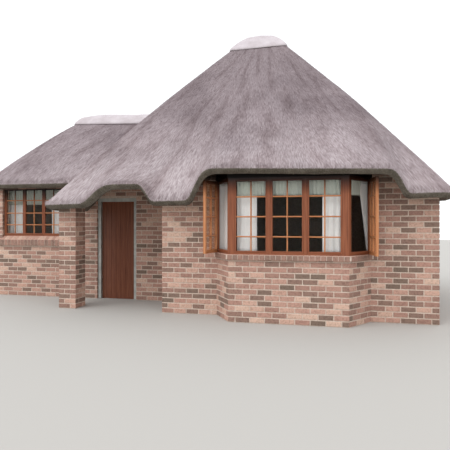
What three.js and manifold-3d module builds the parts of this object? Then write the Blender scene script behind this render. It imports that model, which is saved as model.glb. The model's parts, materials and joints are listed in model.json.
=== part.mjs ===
// A thatched brick cottage: a main room under a big hipped roof, with a canted bay window and
// a porch under one corner, and a lower wing that runs into the main roof from the left.
// Millimetres. +X runs to the right along the front wall, +Y into the building, +Z up.
// The ground is z = 0, and y = 0 is the outer face of the main front wall.

import * as THREE from "three";
import { mergeVertices } from "three/addons/utils/BufferGeometryUtils.js";
import Module from "manifold-3d";

const wasm = await Module();
wasm.setup();

// Small clearance between pieces that are shaped by each other, and the edges too short to keep
const GAP = 0.4;
const SLIVER = 0.05;

// Walls: one-brick walls, and a floor slab one course thick
const WALL = 230;
const TALL = 4400;
const FLOOR_TOP = 90;
const MAIN = { left: -3250, right: 1360, front: 0, back: 5660 };
const WING = { left: -7850, front: 1250, back: 4410 };
const PILLAR = 345;
const PILLAR_LEFT = -5320;

// Eaves in plan, and the two ridges, which lie on one line
const MAIN_EAVE = { left: -5555, right: 1610, front: -450, back: 6110 };
const WING_EAVE = { left: -8110, front: 900, back: 4760 };
const RIDGE_Y = (MAIN_EAVE.front + MAIN_EAVE.back) / 2;
const MAIN_RIDGE = { left: -2180, right: -1740, top: 5860 };
const WING_RIDGE = { left: -6270, top: 4200, fall: 0.045 };
const MAIN_CORNER = 450;
const WING_CORNER = 600;
const WING_BURIED_END = -2300;
const WING_STATIONS = 6;

// Thatch: upper edge of the eave, height and depth of its cut face, and its upright thickness
const LOW_EAVE_LEFT = 1925;
const LOW_EAVE_RIGHT = 2060;
const WING_EAVE_TOP = 2430;
const CUT_HEIGHT = 85;
const CUT_DEPTH = 120;
const THICK = 300;
const THINNER_WHERE_LIFTED = 110;
const MAIN_BULGE = 105;
const WING_BULGE = 100;

// The eyebrow over the bay, and the arch over the porch, along x on the front eave
const BROW = { footLeft: -2700, left: -1970, right: 480, footRight: 915, topLeft: 2465, topRight: 2395 };
const BROW_OUT = 350;
const BROW_REACH = 0.6;
const BROW_WIDER_UNDER = 70;
const UNDER_LEADS = 70;
const ARCH = { footLeft: -4660, left: -3890, right: -3640, footRight: -3250, top: 2275 };
const ARCH_REACH = 0.26;
const SHOULDER = 2.2;
const OUTER_SQUARENESS = 0.6;

// Ridge caps
const CAP_THICK = 45;
const CAP_CROWN = 40;
const CAP_START = 0.877;

// Canted bay: outer face of its frame, symmetrical about its middle
const BAY_MIDDLE = -955;
const BAY_HALF_FRONT = 950;
const BAY_HALF_OPENING = 1285;
const BAY_OUT = 540;
const BAY_SILL = 1090;
const BAY_HEAD = 2330;
const SILL_THICK = 75;
const FRAME_DEPTH = 80;
const CORNER_POST = 130;
const CORNER_POST_SIDE = 70;
const WALL_POST = 34;
const MULLION = 112;
const MULLION_PITCH = 574;
const RAIL = 62;
const LEAF = { width: 485, thick: 45, stile: 45, rail: 60, swing: 9.5, start: 41, inset: 11 };
const LEAF_HEAD_GAP = 26;

// Plain windows: three casements with a sloping brick sill
const POST = 58;
const CASEMENT_POST = 70;
const REVEAL = 50;
const GLASS = 5;
const BRICK_SILL = { high: 200, out: 50, fall: 78, ear: 110 };
const WING_WINDOW = { left: -7535, right: -6020, sill: 1310, head: 2385 };
const SIDE_WINDOW = { width: 1510, sill: 1090, head: 1990 };

// Porch door
const DOOR = { left: -5205, right: -4305, head: 2120, frame: 70, leaf: 44 };

// Curtains: two tracks and the cloth that hangs from them
const TRACK_HIGH = 20;
const TRACK_DEEP = 80;
const CLOTH = 45;
const VALANCE = { thick: 12, bayDrop: 262, wingDrop: 355, out: 8 };
const BAY_CURTAIN = { leftTo: -1455, rightFrom: -415 };
const WING_CURTAIN = { leftTo: -7200, rightFrom: -6470 };
const TIED_BACK = { from: 75, wideTop: 160, wideLow: 15 };

const material = (color, roughness) => new THREE.MeshStandardMaterial({ color, roughness, metalness: 0 });
const THATCH = material(0x8f8288, 0.95);
const CAP = material(0xc9bcb6, 0.85);
const BRICK = material(0x8a5f55, 0.9);
const TIMBER = material(0x9a4f2c, 0.5);
const PAINTED_STEEL = material(0xb9bcb8, 0.5);
const CLEAR_GLASS = material(0x9fb0b0, 0.1);
const CLOTH_CREAM = material(0xe6e2d2, 0.95);
const CONCRETE = material(0x9a8f86, 0.9);

const cottage = new THREE.Group();
cottage.position.set(
  -(WING_EAVE.left + MAIN_EAVE.right) / 2,
  -(MAIN_EAVE.front - BROW_OUT + MAIN_EAVE.back) / 2,
  0,
);

// Solids and meshes

function toSolid(geometry) {
  geometry.deleteAttribute("normal");
  geometry.deleteAttribute("uv");
  const merged = mergeVertices(geometry, 1e-3);
  return new wasm.Manifold(new wasm.Mesh({
    numProp: 3,
    vertProperties: new Float32Array(merged.attributes.position.array),
    triVerts: new Uint32Array(merged.index.array),
  }));
}

function toGeometry(solid) {
  const mesh = solid.getMesh();
  const geometry = new THREE.BufferGeometry();
  geometry.setAttribute("position", new THREE.BufferAttribute(mesh.vertProperties, 3));
  geometry.setIndex(new THREE.BufferAttribute(mesh.triVerts, 1));
  geometry.computeVertexNormals();
  return geometry;
}

function addPiece(name, solid, finish, parent = cottage) {
  const mesh = new THREE.Mesh(toGeometry(solid), finish);
  mesh.name = name;
  parent.add(mesh);
}

function block(x0, x1, y0, y1, z0, z1) {
  const box = new THREE.BoxGeometry(x1 - x0, y1 - y0, z1 - z0);
  box.translate((x0 + x1) / 2, (y0 + y1) / 2, (z0 + z1) / 2);
  return toSolid(box);
}

function prism(outline, z0, z1) {
  const shape = new THREE.Shape(outline.map(([x, y]) => new THREE.Vector2(x, y)));
  const body = new THREE.ExtrudeGeometry(shape, { depth: z1 - z0, bevelEnabled: false });
  body.translate(0, 0, z0);
  return toSolid(body);
}

function joined(solids) {
  return solids.reduce((whole, piece) => whole.add(piece));
}

// Thatch: rings of points around the roof, one for each level from the eave (0) to the ridge (1)

const { lerp, smoothstep } = THREE.MathUtils;

function between(from, to, step) {
  const count = Math.max(1, Math.round(Math.abs(to - from) / step));
  return Array.from({ length: count }, (_, i) => lerp(from, to, i / count));
}

function arc(cx, cy, radius, fromDegrees, parts) {
  return Array.from({ length: parts }, (_, i) => {
    const angle = THREE.MathUtils.degToRad(fromDegrees + (90 * i) / parts);
    return [cx + radius * Math.cos(angle), cy + radius * Math.sin(angle)];
  });
}

// A climb that starts as quickly as smoothstep does and rounds off more slowly towards its top
function climb(x, foot, top) {
  const share = foot < top ? smoothstep(x, foot, top) : 1 - smoothstep(x, top, foot);
  return 1 - (1 - share) ** SHOULDER;
}

// The underside is lifted over a wider stretch than the outside, so that it stays behind the cut face
function liftOnFront(x, wider = 0) {
  const low = lowEave(x);
  const browTop = lerp(BROW.topLeft, BROW.topRight, (x - BROW.left) / (BROW.right - BROW.left));
  const leftOfBrow = climb(x, BROW.footLeft - wider, BROW.left - wider);
  const brow = leftOfBrow * climb(x, BROW.footRight + wider, BROW.right + wider);
  const arch = climb(x, ARCH.footLeft, ARCH.left) * climb(x, ARCH.footRight, ARCH.right);
  return {
    share: brow + arch,
    out: -BROW_OUT * brow,
    up: (browTop - low) * brow + (ARCH.top - low) * arch,
    reach: arch > 0 ? ARCH_REACH : BROW_REACH,
  };
}

function lowEave(x) {
  const share = (x - MAIN_EAVE.left) / (MAIN_EAVE.right - MAIN_EAVE.left);
  return lerp(LOW_EAVE_LEFT, LOW_EAVE_RIGHT, share);
}

function frontStations() {
  const e = MAIN_EAVE;
  const stretches = [
    [e.left + MAIN_CORNER, ARCH.footLeft, 140],
    [ARCH.footLeft, ARCH.left, 68],
    [ARCH.left, ARCH.right, 160],
    [ARCH.right, ARCH.footRight, 48],
    [ARCH.footRight, BROW.footLeft, 240],
    [BROW.footLeft, BROW.left, 50],
    [BROW.left, BROW.right, 270],
    [BROW.right, BROW.footRight, 40],
    [BROW.footRight, e.right - MAIN_CORNER, 140],
  ];
  return stretches.flatMap(([from, to, step]) => between(from, to, step));
}

function mainRim() {
  const e = MAIN_EAVE;
  const r = MAIN_CORNER;
  const side = 620;
  const outline = [
    ...frontStations().map((x) => [x, e.front]),
    ...arc(e.right - r, e.front + r, r, -90, 5),
    ...between(e.front + r, e.back - r, side).map((y) => [e.right, y]),
    ...arc(e.right - r, e.back - r, r, 0, 5),
    ...between(e.right - r, e.left + r, side).map((x) => [x, e.back]),
    ...arc(e.left + r, e.back - r, r, 90, 5),
    ...between(e.back - r, e.front + r, side).map((y) => [e.left, y]),
    ...arc(e.left + r, e.front + r, r, 180, 5),
  ];
  return outline.map(([x, y]) => {
    const share = THREE.MathUtils.clamp((x - e.left - r) / (e.right - e.left - 2 * r), 0, 1);
    const ridgeX = lerp(MAIN_RIDGE.left, MAIN_RIDGE.right, share);
    return {
      eave: new THREE.Vector3(x, y, lowEave(x)),
      ridge: new THREE.Vector3(ridgeX, RIDGE_Y, MAIN_RIDGE.top),
      frontness: THREE.MathUtils.clamp((e.front + r - y) / r, 0, 1),
      bulge: MAIN_BULGE,
    };
  });
}

function wingRim(end) {
  const e = WING_EAVE;
  const r = WING_CORNER;
  const side = (end - e.left - r) / WING_STATIONS;
  const outline = [
    ...between(e.left + r, end, side).map((x) => [x, e.front]),
    [end, e.front],
    [end, RIDGE_Y],
    ...between(end, e.left + r, side).map((x) => [x, e.back]),
    ...arc(e.left + r, e.back - r, r, 90, 6),
    ...between(e.back - r, e.front + r, side).map((y) => [e.left, y]),
    ...arc(e.left + r, e.front + r, r, 180, 6),
  ];
  return outline.map(([x, y]) => {
    const share = THREE.MathUtils.clamp((x - e.left - r) / (end - e.left - r), 0, 1);
    const ridgeX = lerp(WING_RIDGE.left, end, share);
    const fall = (ridgeX - WING_RIDGE.left) * WING_RIDGE.fall;
    return {
      eave: new THREE.Vector3(x, y, WING_EAVE_TOP),
      ridge: new THREE.Vector3(ridgeX, RIDGE_Y, WING_RIDGE.top - fall),
      frontness: 0,
      bulge: WING_BULGE,
    };
  });
}

const SQUARE_TO_FRONT = new THREE.Vector3(0, 1, 0);

// The lift at a level. A lifted stretch of eave runs back into the roof more squarely than the
// slope's own lines, which close in towards the ridge: squareness 1 is straight back.
function liftAt(edge, level, squareness, wider = 0) {
  const x = lerp(edge.eave.x, lerp(edge.eave.x, edge.ridge.x, level), squareness);
  const full = liftOnFront(x, wider);
  const left = edge.frontness * Math.max(0, 1 - level / full.reach) ** 2;
  return { out: full.out * left, up: full.up * left, thinner: full.share * Math.sqrt(left) };
}

function slopePoint(edge, level, raise = 0, lift = liftAt(edge, level, OUTER_SQUARENESS)) {
  const point = edge.eave.clone().lerp(edge.ridge, level);
  point.y += lift.out;
  point.z += lift.up + raise + 4 * edge.bulge * level * (1 - level);
  return point;
}

// The underside lies closer to the outside where the eave is lifted, because the slope is gentler there.
// On the flanks it lifts earlier than the outside, by UNDER_LEADS at most, so that it stays below it.
function underPoint(edge, level, raise = 0) {
  const lift = liftAt(edge, level, 1, BROW_WIDER_UNDER);
  const outside = liftAt(edge, level, OUTER_SQUARENESS);
  const share = Math.min(1, (outside.up + UNDER_LEADS) / Math.max(lift.up, SLIVER));
  const thinner = THINNER_WHERE_LIFTED * lift.thinner * share;
  return slopePoint(edge, level, raise - THICK + thinner, { out: lift.out * share, up: lift.up * share });
}

// The cut face is as high across a climbing stretch of eave as along a level one, and leads inwards
// between square to the front and towards the ridge
function cutPoints(rim, raise = 0) {
  const count = rim.length;
  return rim.map((edge, i) => {
    const along = slopePoint(rim[(i + 1) % count], 0).sub(slopePoint(rim[(i + count - 1) % count], 0)).normalize();
    const down = new THREE.Vector3(0, 0, -1);
    down.addScaledVector(along, -down.dot(along)).normalize();
    const point = slopePoint(edge, 0, raise).addScaledVector(down, CUT_HEIGHT);
    const toRidge = edge.ridge.clone().sub(edge.eave).setZ(0);
    if (toRidge.lengthSq() < 1) return point;
    const inward = toRidge.normalize().lerp(SQUARE_TO_FRONT, edge.frontness / 2).normalize();
    return point.addScaledVector(inward, CUT_DEPTH);
  });
}

function ring(rim, level, raise) {
  return rim.map((edge) => slopePoint(edge, level, raise));
}

function dropTo(points, z) {
  return points.map((point) => point.clone().setZ(z));
}

// A closed skin over rings that are listed from its upper end round to its lower end. Past the ring
// numbered turn the list climbs again, and the facets are split the other way, as on the outside.
function skin(rings, turn = rings.length, crown = 0) {
  const count = rings[0].length;
  const middle = (points) => points.reduce((sum, p) => sum.add(p), new THREE.Vector3()).divideScalar(count);
  const first = middle(rings[0]);
  first.z += crown;
  const corners = [];
  for (let i = 0; i < count; i += 1) {
    const next = (i + 1) % count;
    corners.push(first, rings[0][i], rings[0][next]);
    for (let k = 1; k < rings.length; k += 1) {
      const [upper, lower] = [rings[k - 1], rings[k]];
      if (k <= turn) corners.push(upper[i], lower[i], lower[next], upper[i], lower[next], upper[next]);
      else corners.push(upper[i], lower[i], upper[next], upper[next], lower[i], lower[next]);
    }
    const last = rings[rings.length - 1];
    corners.push(middle(last), last[next], last[i]);
  }
  return toSolid(new THREE.BufferGeometry().setFromPoints(corners));
}

const TOP_LEVEL = 0.98;
const MAIN_LEVELS = [TOP_LEVEL, 0.8, 0.62, 0.48, 0.36, 0.26, 0.18, 0.12, 0.07, 0.03, 0];
const MAIN_UNDER_LEVELS = [0.92, 0.75, 0.55, 0.38, 0.26, 0.17, 0.09];
const WING_LEVELS = [TOP_LEVEL, 0.7, 0.4, 0.15, 0];
const WING_UNDER_LEVELS = [0.9, 0.5, 0.15];

// Under the outer slope down to the skirt's foot, for cutting what runs into a roof
function filledRoof(rim, levels, raise) {
  const rings = levels.map((level) => ring(rim, level, raise));
  return skin([...rings, dropTo(rings[rings.length - 1], 500)]);
}

// The room under a roof, from its underside down, for cutting walls to the thatch
function spaceUnder(rim, levels, lower) {
  const edge = cutPoints(rim, -lower);
  const rings = levels.map((level) => rim.map((part) => underPoint(part, level, -lower)));
  return skin([...rings, edge, dropTo(edge, -500)]);
}

function shell(outerRim, innerRim, levels, underLevels) {
  const outer = levels.map((level) => ring(outerRim, level, 0));
  const edge = cutPoints(innerRim);
  const under = [...underLevels].reverse().map((level) => innerRim.map((part) => underPoint(part, level)));
  return skin([...outer, edge, ...under], outer.length);
}

const rim = mainRim();
const wingOuterRim = wingRim(WING_BURIED_END);
const wingInnerRim = wingRim(WING_BURIED_END - THICK);
const mainEnvelope = filledRoof(rim, MAIN_LEVELS, 1);
const wingSpace = spaceUnder(wingInnerRim, WING_UNDER_LEVELS, 0);
const roofSpace = spaceUnder(rim, MAIN_UNDER_LEVELS, GAP)
  .add(spaceUnder(wingInnerRim, WING_UNDER_LEVELS, GAP));

function ridgeCap(outline, start) {
  const levels = [TOP_LEVEL, (TOP_LEVEL + start) / 2, start];
  const outer = levels.map((level) => ring(outline, level, CAP_THICK));
  const under = [...levels].reverse().map((level) => ring(outline, level, 1));
  return skin([...outer, ...under], outer.length, CAP_CROWN);
}

function roofs() {
  const wingRoom = wingSpace.intersect(
    block(WING.left - GAP, WING_BURIED_END - THICK, WING.front - GAP, WING.back + GAP, -400, TALL + 1000),
  );
  const main = shell(rim, rim, MAIN_LEVELS, MAIN_UNDER_LEVELS);
  const wing = shell(wingOuterRim, wingInnerRim, WING_LEVELS, WING_UNDER_LEVELS);
  addPiece("main_thatch", main.subtract(wingRoom), THATCH);
  addPiece("wing_thatch", wing.subtract(mainEnvelope), THATCH);
  addPiece("main_ridge_cap", ridgeCap(rim, CAP_START), CAP);
  addPiece("wing_ridge_cap", ridgeCap(wingOuterRim, CAP_START).subtract(mainEnvelope), CAP);
}

// Walls: each runs up to the thatch that it carries

function wall(name, x0, x1, y0, y1, z0 = 0, holes = []) {
  const raw = block(x0, x1, y0, y1, z0, TALL);
  const pierced = holes.reduce((body, hole) => body.subtract(hole), raw);
  addPiece(name, pierced.intersect(roofSpace), BRICK);
}

function windowHole(x0, x1, y0, y1, opening) {
  const past = 20;
  const alongX = x1 - x0 > y1 - y0;
  const [px, py] = alongX ? [0, past] : [past, 0];
  return block(x0 - px, x1 + px, y0 - py, y1 + py, opening.sill - BRICK_SILL.high, opening.head);
}

const sideWindowFrom = (MAIN.front + MAIN.back - SIDE_WINDOW.width) / 2;

function mainWalls() {
  const bayLeft = BAY_MIDDLE - BAY_HALF_OPENING;
  const bayRight = BAY_MIDDLE + BAY_HALF_OPENING;
  const inner = { right: MAIN.right - WALL, back: MAIN.back - WALL };
  wall("front_wall_left", MAIN.left, bayLeft, MAIN.front, WALL);
  wall("front_wall_right", bayRight, MAIN.right, MAIN.front, WALL);
  wall("front_wall_over_bay", bayLeft, bayRight, MAIN.front, WALL, BAY_HEAD);
  wall("right_wall", inner.right, MAIN.right, WALL, inner.back, 0, [
    windowHole(inner.right, MAIN.right, sideWindowFrom, sideWindowFrom + SIDE_WINDOW.width, SIDE_WINDOW),
  ]);
  wall("back_wall", MAIN.left, MAIN.right, inner.back, MAIN.back);
  wall("porch_side_wall", MAIN.left, MAIN.left + WALL, WALL, WING.front + WALL);
  wall("rear_porch_side_wall", MAIN.left, MAIN.left + WALL, WING.back - WALL, inner.back);
}

function wingWalls() {
  const w = WING_WINDOW;
  const front = [WING.front, WING.front + WALL];
  const back = [WING.back - WALL, WING.back];
  wall("wing_front_wall", WING.left, DOOR.left, ...front, 0, [windowHole(w.left, w.right, ...front, w)]);
  wall("wing_wall_over_door", DOOR.left, DOOR.right, ...front, DOOR.head);
  wall("wing_wall_beside_door", DOOR.right, MAIN.left, ...front);
  wall("wing_back_wall", WING.left, MAIN.left, ...back, 0, [windowHole(w.left, w.right, ...back, w)]);
  wall("wing_left_wall", WING.left, WING.left + WALL, front[1], back[0]);
}

function pillars() {
  const right = PILLAR_LEFT + PILLAR;
  wall("porch_pillar", PILLAR_LEFT, right, MAIN.front, MAIN.front + PILLAR);
  wall("rear_porch_pillar", PILLAR_LEFT, right, MAIN.back - PILLAR, MAIN.back);
}

function floorSlab() {
  const slab = joined([
    block(MAIN.left + WALL, MAIN.right - WALL, WALL, MAIN.back - WALL, 0, FLOOR_TOP),
    block(WING.left + WALL, MAIN.left + WALL, WING.front + WALL, WING.back - WALL, 0, FLOOR_TOP),
  ]);
  addPiece("floor_slab", slab, CONCRETE);
}

// Plain windows, made facing -Y with their lower left corner on the wall's outer face

function brickSill(width) {
  const slope = (BRICK_SILL.fall * BRICK_SILL.out) / (BRICK_SILL.out + REVEAL);
  const front = [
    [-BRICK_SILL.out, -BRICK_SILL.high],
    [-GAP, -BRICK_SILL.high],
    [-GAP, slope - BRICK_SILL.fall],
    [-BRICK_SILL.out, -BRICK_SILL.fall],
  ];
  const inOpening = [
    [-BRICK_SILL.out, -BRICK_SILL.high],
    [WALL, -BRICK_SILL.high],
    [WALL, 0],
    [REVEAL, 0],
    [-BRICK_SILL.out, -BRICK_SILL.fall],
  ];
  const ear = BRICK_SILL.ear;
  return prism(front, -ear, width + ear).add(prism(inOpening, GAP, width - GAP)).rotate([90, 0, 90]);
}

function windowParts(width, opening, casements) {
  const high = opening.head - opening.sill;
  const front = REVEAL;
  const back = REVEAL + FRAME_DEPTH;
  const pitch = (width - POST) / casements;
  const light = pitch - CASEMENT_POST;
  const edge = (width - (casements - 1) * pitch - light) / 2;
  let frame = block(GAP, width - GAP, front, back, GAP, high - GAP);
  for (let i = 0; i < casements; i += 1) {
    const from = edge + i * pitch;
    frame = frame.subtract(block(from, from + light, front - 10, back + 10, RAIL, high - RAIL));
  }
  const glass = block(POST / 2, width - POST / 2, back + GAP, back + GAP + GLASS, RAIL / 2, high - RAIL / 2);
  return { frame, glass, sill: brickSill(width) };
}

function addWindow(name, x, y, turn, width, opening, casements) {
  const place = new THREE.Group();
  place.position.set(x, y, opening.sill);
  place.rotation.z = THREE.MathUtils.degToRad(turn);
  cottage.add(place);
  const parts = windowParts(width, opening, casements);
  addPiece(`${name}_frame`, parts.frame, TIMBER, place);
  addPiece(`${name}_glass`, parts.glass, CLEAR_GLASS, place);
  addPiece(`${name}_sill`, parts.sill, BRICK, place);
}

function plainWindows() {
  const w = WING_WINDOW;
  const wide = w.right - w.left;
  addWindow("wing_window", w.left, WING.front, 0, wide, w, 3);
  addWindow("wing_back_window", w.right, WING.back, 180, wide, w, 3);
  addWindow("side_window", MAIN.right, sideWindowFrom, 90, SIDE_WINDOW.width, SIDE_WINDOW, 3);
}

// The bay follows one line round three sides, and its layers are bands beside that line

function bayLine(inset) {
  const left = [
    [-BAY_HALF_OPENING, WALL],
    [-BAY_HALF_OPENING, 0],
    [-BAY_HALF_FRONT, -BAY_OUT],
  ];
  const line = [...left, ...left.map(([x, y]) => [-x, y]).reverse()];
  const points = line.map(([x, y]) => new THREE.Vector2(x + BAY_MIDDLE, y));
  return points.map((point, i) => {
    const before = points[Math.max(0, i - 1)];
    const after = points[Math.min(points.length - 1, i + 1)];
    const inA = inwardOf(i > 0 ? before : point, i > 0 ? point : after);
    const inB = inwardOf(i < points.length - 1 ? point : before, i < points.length - 1 ? after : point);
    const mitre = inA.clone().add(inB).normalize();
    return point.clone().addScaledVector(mitre, inset / mitre.dot(inA));
  });
}

function inwardOf(from, to) {
  const along = to.clone().sub(from).normalize();
  return new THREE.Vector2(-along.y, along.x);
}

function bayBand(outset, inset, z0, z1, first = 0, last = 5) {
  const outer = bayLine(outset).slice(first, last + 1);
  const inner = bayLine(inset).slice(first, last + 1).reverse();
  return prism([...outer, ...inner].map((p) => [p.x, p.y]), z0, z1);
}

// A light in the stretch of the bay line after a corner, from one distance along it to another
function bayLight(corner, from, to, z0, z1) {
  const [start, end] = bayLine(0).slice(corner, corner + 2);
  const along = end.clone().sub(start).normalize();
  const inward = inwardOf(start, end);
  const past = 10;
  const ends = [[from, -past], [to, -past], [to, FRAME_DEPTH + past], [from, FRAME_DEPTH + past]];
  const outline = ends.map(([way, depth]) => start.clone().addScaledVector(along, way).addScaledVector(inward, depth));
  return prism(outline.map((p) => [p.x, p.y]), z0, z1);
}

function bayWalls() {
  const top = BAY_SILL - SILL_THICK;
  const sides = [["bay_base_left", 0, 2], ["bay_base_front", 2, 3], ["bay_base_right", 3, 5]];
  for (const [name, first, last] of sides) {
    const thin = bayBand(0, WALL, 0, top, first, last);
    addPiece(name, first === 2 ? thin : thin.subtract(frontStrip()), BRICK);
  }
  addPiece("bay_sill", bayBand(-45, WALL, top, BAY_SILL).subtract(wallEnds(top, BAY_SILL)), BRICK);
}

// A sliver at each end of the front stretch, so that the turned side walls clear it
function frontStrip() {
  const line = [bayLine(-1), bayLine(WALL + 1)];
  const [a, b] = [line[0][2], line[1][2]];
  const [c, d] = [line[1][3], line[0][3]];
  return prism([[a.x - GAP, a.y], [d.x + GAP, d.y], [c.x + GAP, c.y], [b.x - GAP, b.y]], -10, BAY_SILL);
}

// The stretches of the front wall beside the bay, which the bay's projecting layers stop against
function wallEnds(z0, z1) {
  const left = BAY_MIDDLE - BAY_HALF_OPENING;
  const right = BAY_MIDDLE + BAY_HALF_OPENING;
  return joined([
    block(left - 200, left + GAP, -GAP, WALL + 10, z0 - 10, z1 + 10),
    block(right - GAP, right + 200, -GAP, WALL + 10, z0 - 10, z1 + 10),
  ]);
}

function bayFrame() {
  const low = BAY_SILL;
  const sideLength = Math.hypot(BAY_HALF_OPENING - BAY_HALF_FRONT, BAY_OUT);
  const mullions = [-1, 1].map((side) => BAY_HALF_FRONT + (side * MULLION_PITCH) / 2);
  const edges = [
    CORNER_POST,
    ...mullions.flatMap((middle) => [middle - MULLION / 2, middle + MULLION / 2]),
    2 * BAY_HALF_FRONT - CORNER_POST,
  ];
  const lights = [
    [1, WALL_POST, sideLength - CORNER_POST_SIDE],
    [2, edges[0], edges[1]],
    [2, edges[2], edges[3]],
    [2, edges[4], edges[5]],
    [3, CORNER_POST_SIDE, sideLength - WALL_POST],
  ].map(([corner, from, to]) => bayLight(corner, from, to, low + RAIL, BAY_HEAD - RAIL));
  const behind = block(MAIN.left, MAIN.right, WALL_POST, WALL + 10, low - 10, BAY_HEAD + 10);
  const band = bayBand(0, FRAME_DEPTH, low, BAY_HEAD).subtract(behind).subtract(wallEnds(low, BAY_HEAD));
  const beam = bayBand(-20, FRAME_DEPTH + 60, BAY_HEAD, TALL, 1, 4).subtract(frontWallLine());
  const frame = lights.reduce((body, light) => body.subtract(light), band).add(beam);
  addPiece("bay_frame", frame.intersect(roofSpace).simplify(SLIVER), TIMBER);
  const left = BAY_MIDDLE - BAY_HALF_FRONT + CORNER_POST / 2;
  const right = BAY_MIDDLE + BAY_HALF_FRONT - CORNER_POST / 2;
  const y = FRAME_DEPTH - BAY_OUT + GAP;
  const glass = block(left, right, y, y + GLASS, low + RAIL / 2, BAY_HEAD - RAIL / 2);
  addPiece("bay_front_glass", glass, CLEAR_GLASS);
}

// The beam over the bay's frame stops at the front wall
function frontWallLine() {
  return block(MAIN.left, MAIN.right, -GAP, WALL + 10, BAY_HEAD - 10, TALL + 10);
}

function openLeaf(name, side) {
  const hinge = new THREE.Group();
  hinge.position.set(BAY_MIDDLE + side * (BAY_HALF_OPENING - LEAF.inset), 0, BAY_SILL + 4);
  hinge.rotation.z = THREE.MathUtils.degToRad(-90 + side * LEAF.swing);
  cottage.add(hinge);
  const high = BAY_HEAD - BAY_SILL - LEAF_HEAD_GAP;
  const end = LEAF.start + LEAF.width;
  const half = LEAF.thick / 2;
  const open = block(LEAF.start + LEAF.stile, end - LEAF.stile, -half - 10, half + 10, LEAF.rail, high - LEAF.rail);
  const leaf = block(LEAF.start, end, -half, half, 0, high).subtract(open);
  const pane = block(
    LEAF.start + LEAF.stile + GAP, end - LEAF.stile - GAP,
    -GLASS / 2, GLASS / 2, LEAF.rail + GAP, high - LEAF.rail - GAP,
  );
  addPiece(name, leaf, TIMBER, hinge);
  addPiece(`${name}_glass`, pane, CLEAR_GLASS, hinge);
}

// The porch door, shut in its pressed-steel frame

function porchDoor() {
  const y0 = WING.front + 30;
  const y1 = y0 + 110;
  const inside = [DOOR.left + DOOR.frame, DOOR.right - DOOR.frame];
  const outer = block(DOOR.left + GAP, DOOR.right - GAP, y0, y1, 0, DOOR.head - GAP);
  const way = block(...inside, y0 - 10, y1 + 10, -10, DOOR.head - DOOR.frame);
  addPiece("door_frame", outer.subtract(way), PAINTED_STEEL);
  const yLeaf = y1 - DOOR.leaf - 8;
  const head = DOOR.head - DOOR.frame - GAP;
  const leaf = block(inside[0] + GAP, inside[1] - GAP, yLeaf, yLeaf + DOOR.leaf, 0, head);
  addPiece("door_leaf", leaf, TIMBER);
}

// Curtains

// The cloth at the bay's right side is tied back to the wall, and narrows from the track to the sill
function tiedBackCloth(inset, low, high) {
  const [corner, wallEnd] = bayLine(0).slice(3, 5);
  const along = corner.clone().sub(wallEnd).normalize();
  const start = wallEnd.clone().addScaledVector(along, TIED_BACK.from);
  start.addScaledVector(inwardOf(corner, wallEnd), inset);
  const turn = THREE.MathUtils.radToDeg(Math.atan2(along.y, along.x));
  const outline = [[0, low], [TIED_BACK.wideLow, low], [TIED_BACK.wideTop, high], [0, high]];
  return prism(outline, 0, CLOTH).rotate([90, 0, 0]).rotate([0, 0, turn]).translate([start.x, start.y, 0]);
}

function bayCurtains() {
  const trackZ = BAY_HEAD - RAIL / 2 + 3;
  const clothLow = BAY_SILL + 10;
  const from = FRAME_DEPTH + GAP;
  const clothFrom = from + VALANCE.out + VALANCE.thick + 4;
  const cloth = bayBand(clothFrom, clothFrom + CLOTH, clothLow, trackZ, 1, 4);
  const frontEnd = BAY_MIDDLE + BAY_HALF_FRONT - 55;
  const hangings = joined([
    bayBand(from, from + TRACK_DEEP, trackZ, trackZ + TRACK_HIGH, 1, 4),
    bayBand(from + VALANCE.out, from + VALANCE.out + VALANCE.thick, trackZ - VALANCE.bayDrop, trackZ, 1, 4),
    cloth.intersect(block(MAIN.left, BAY_CURTAIN.leftTo, -BAY_OUT, WALL, 0, TALL)),
    cloth.intersect(block(BAY_CURTAIN.rightFrom, frontEnd, -BAY_OUT, WALL, 0, TALL)),
  ]);
  const inWall = block(MAIN.left, MAIN.right, -60, WALL + 10, 0, TALL);
  const tiedBack = tiedBackCloth(clothFrom, clothLow, trackZ);
  addPiece("bay_curtains", hangings.subtract(inWall).add(tiedBack), CLOTH_CREAM);
}

function wingCurtains() {
  const w = WING_WINDOW;
  const y = WING.front + WALL;
  const top = w.head - TRACK_HIGH;
  const valanceY = y + VALANCE.out;
  const cloth = [y + 24, y + 24 + CLOTH, w.sill - 150, top];
  addPiece("wing_curtains", joined([
    block(w.left - 80, w.right + 80, y, y + TRACK_DEEP, top, w.head),
    block(w.left - 40, w.right + 40, valanceY, valanceY + VALANCE.thick, top - VALANCE.wingDrop, top),
    block(w.left - 60, WING_CURTAIN.leftTo, ...cloth),
    block(WING_CURTAIN.rightFrom, w.right + 60, ...cloth),
  ]), CLOTH_CREAM);
}

roofs();
mainWalls();
wingWalls();
pillars();
floorSlab();
plainWindows();
bayWalls();
bayFrame();
openLeaf("bay_left_leaf", -1);
openLeaf("bay_right_leaf", 1);
porchDoor();
bayCurtains();
wingCurtains();

export default cottage;
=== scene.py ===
# %% [markdown]
# # A thatched brick cottage
# A main room under a big hipped thatch, an eyebrow over a canted bay window, a porch under one corner
# and a lower wing behind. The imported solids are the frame. This lesson dresses them: combed reed, face
# brick laid in bond, joinery with its glazing bars, curtains, mortar ridge caps and the light.

import json
import math

import bmesh
import bpy
import numpy as np
from mathutils import Matrix, Vector, noise
from mathutils.bvhtree import BVHTree


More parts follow.
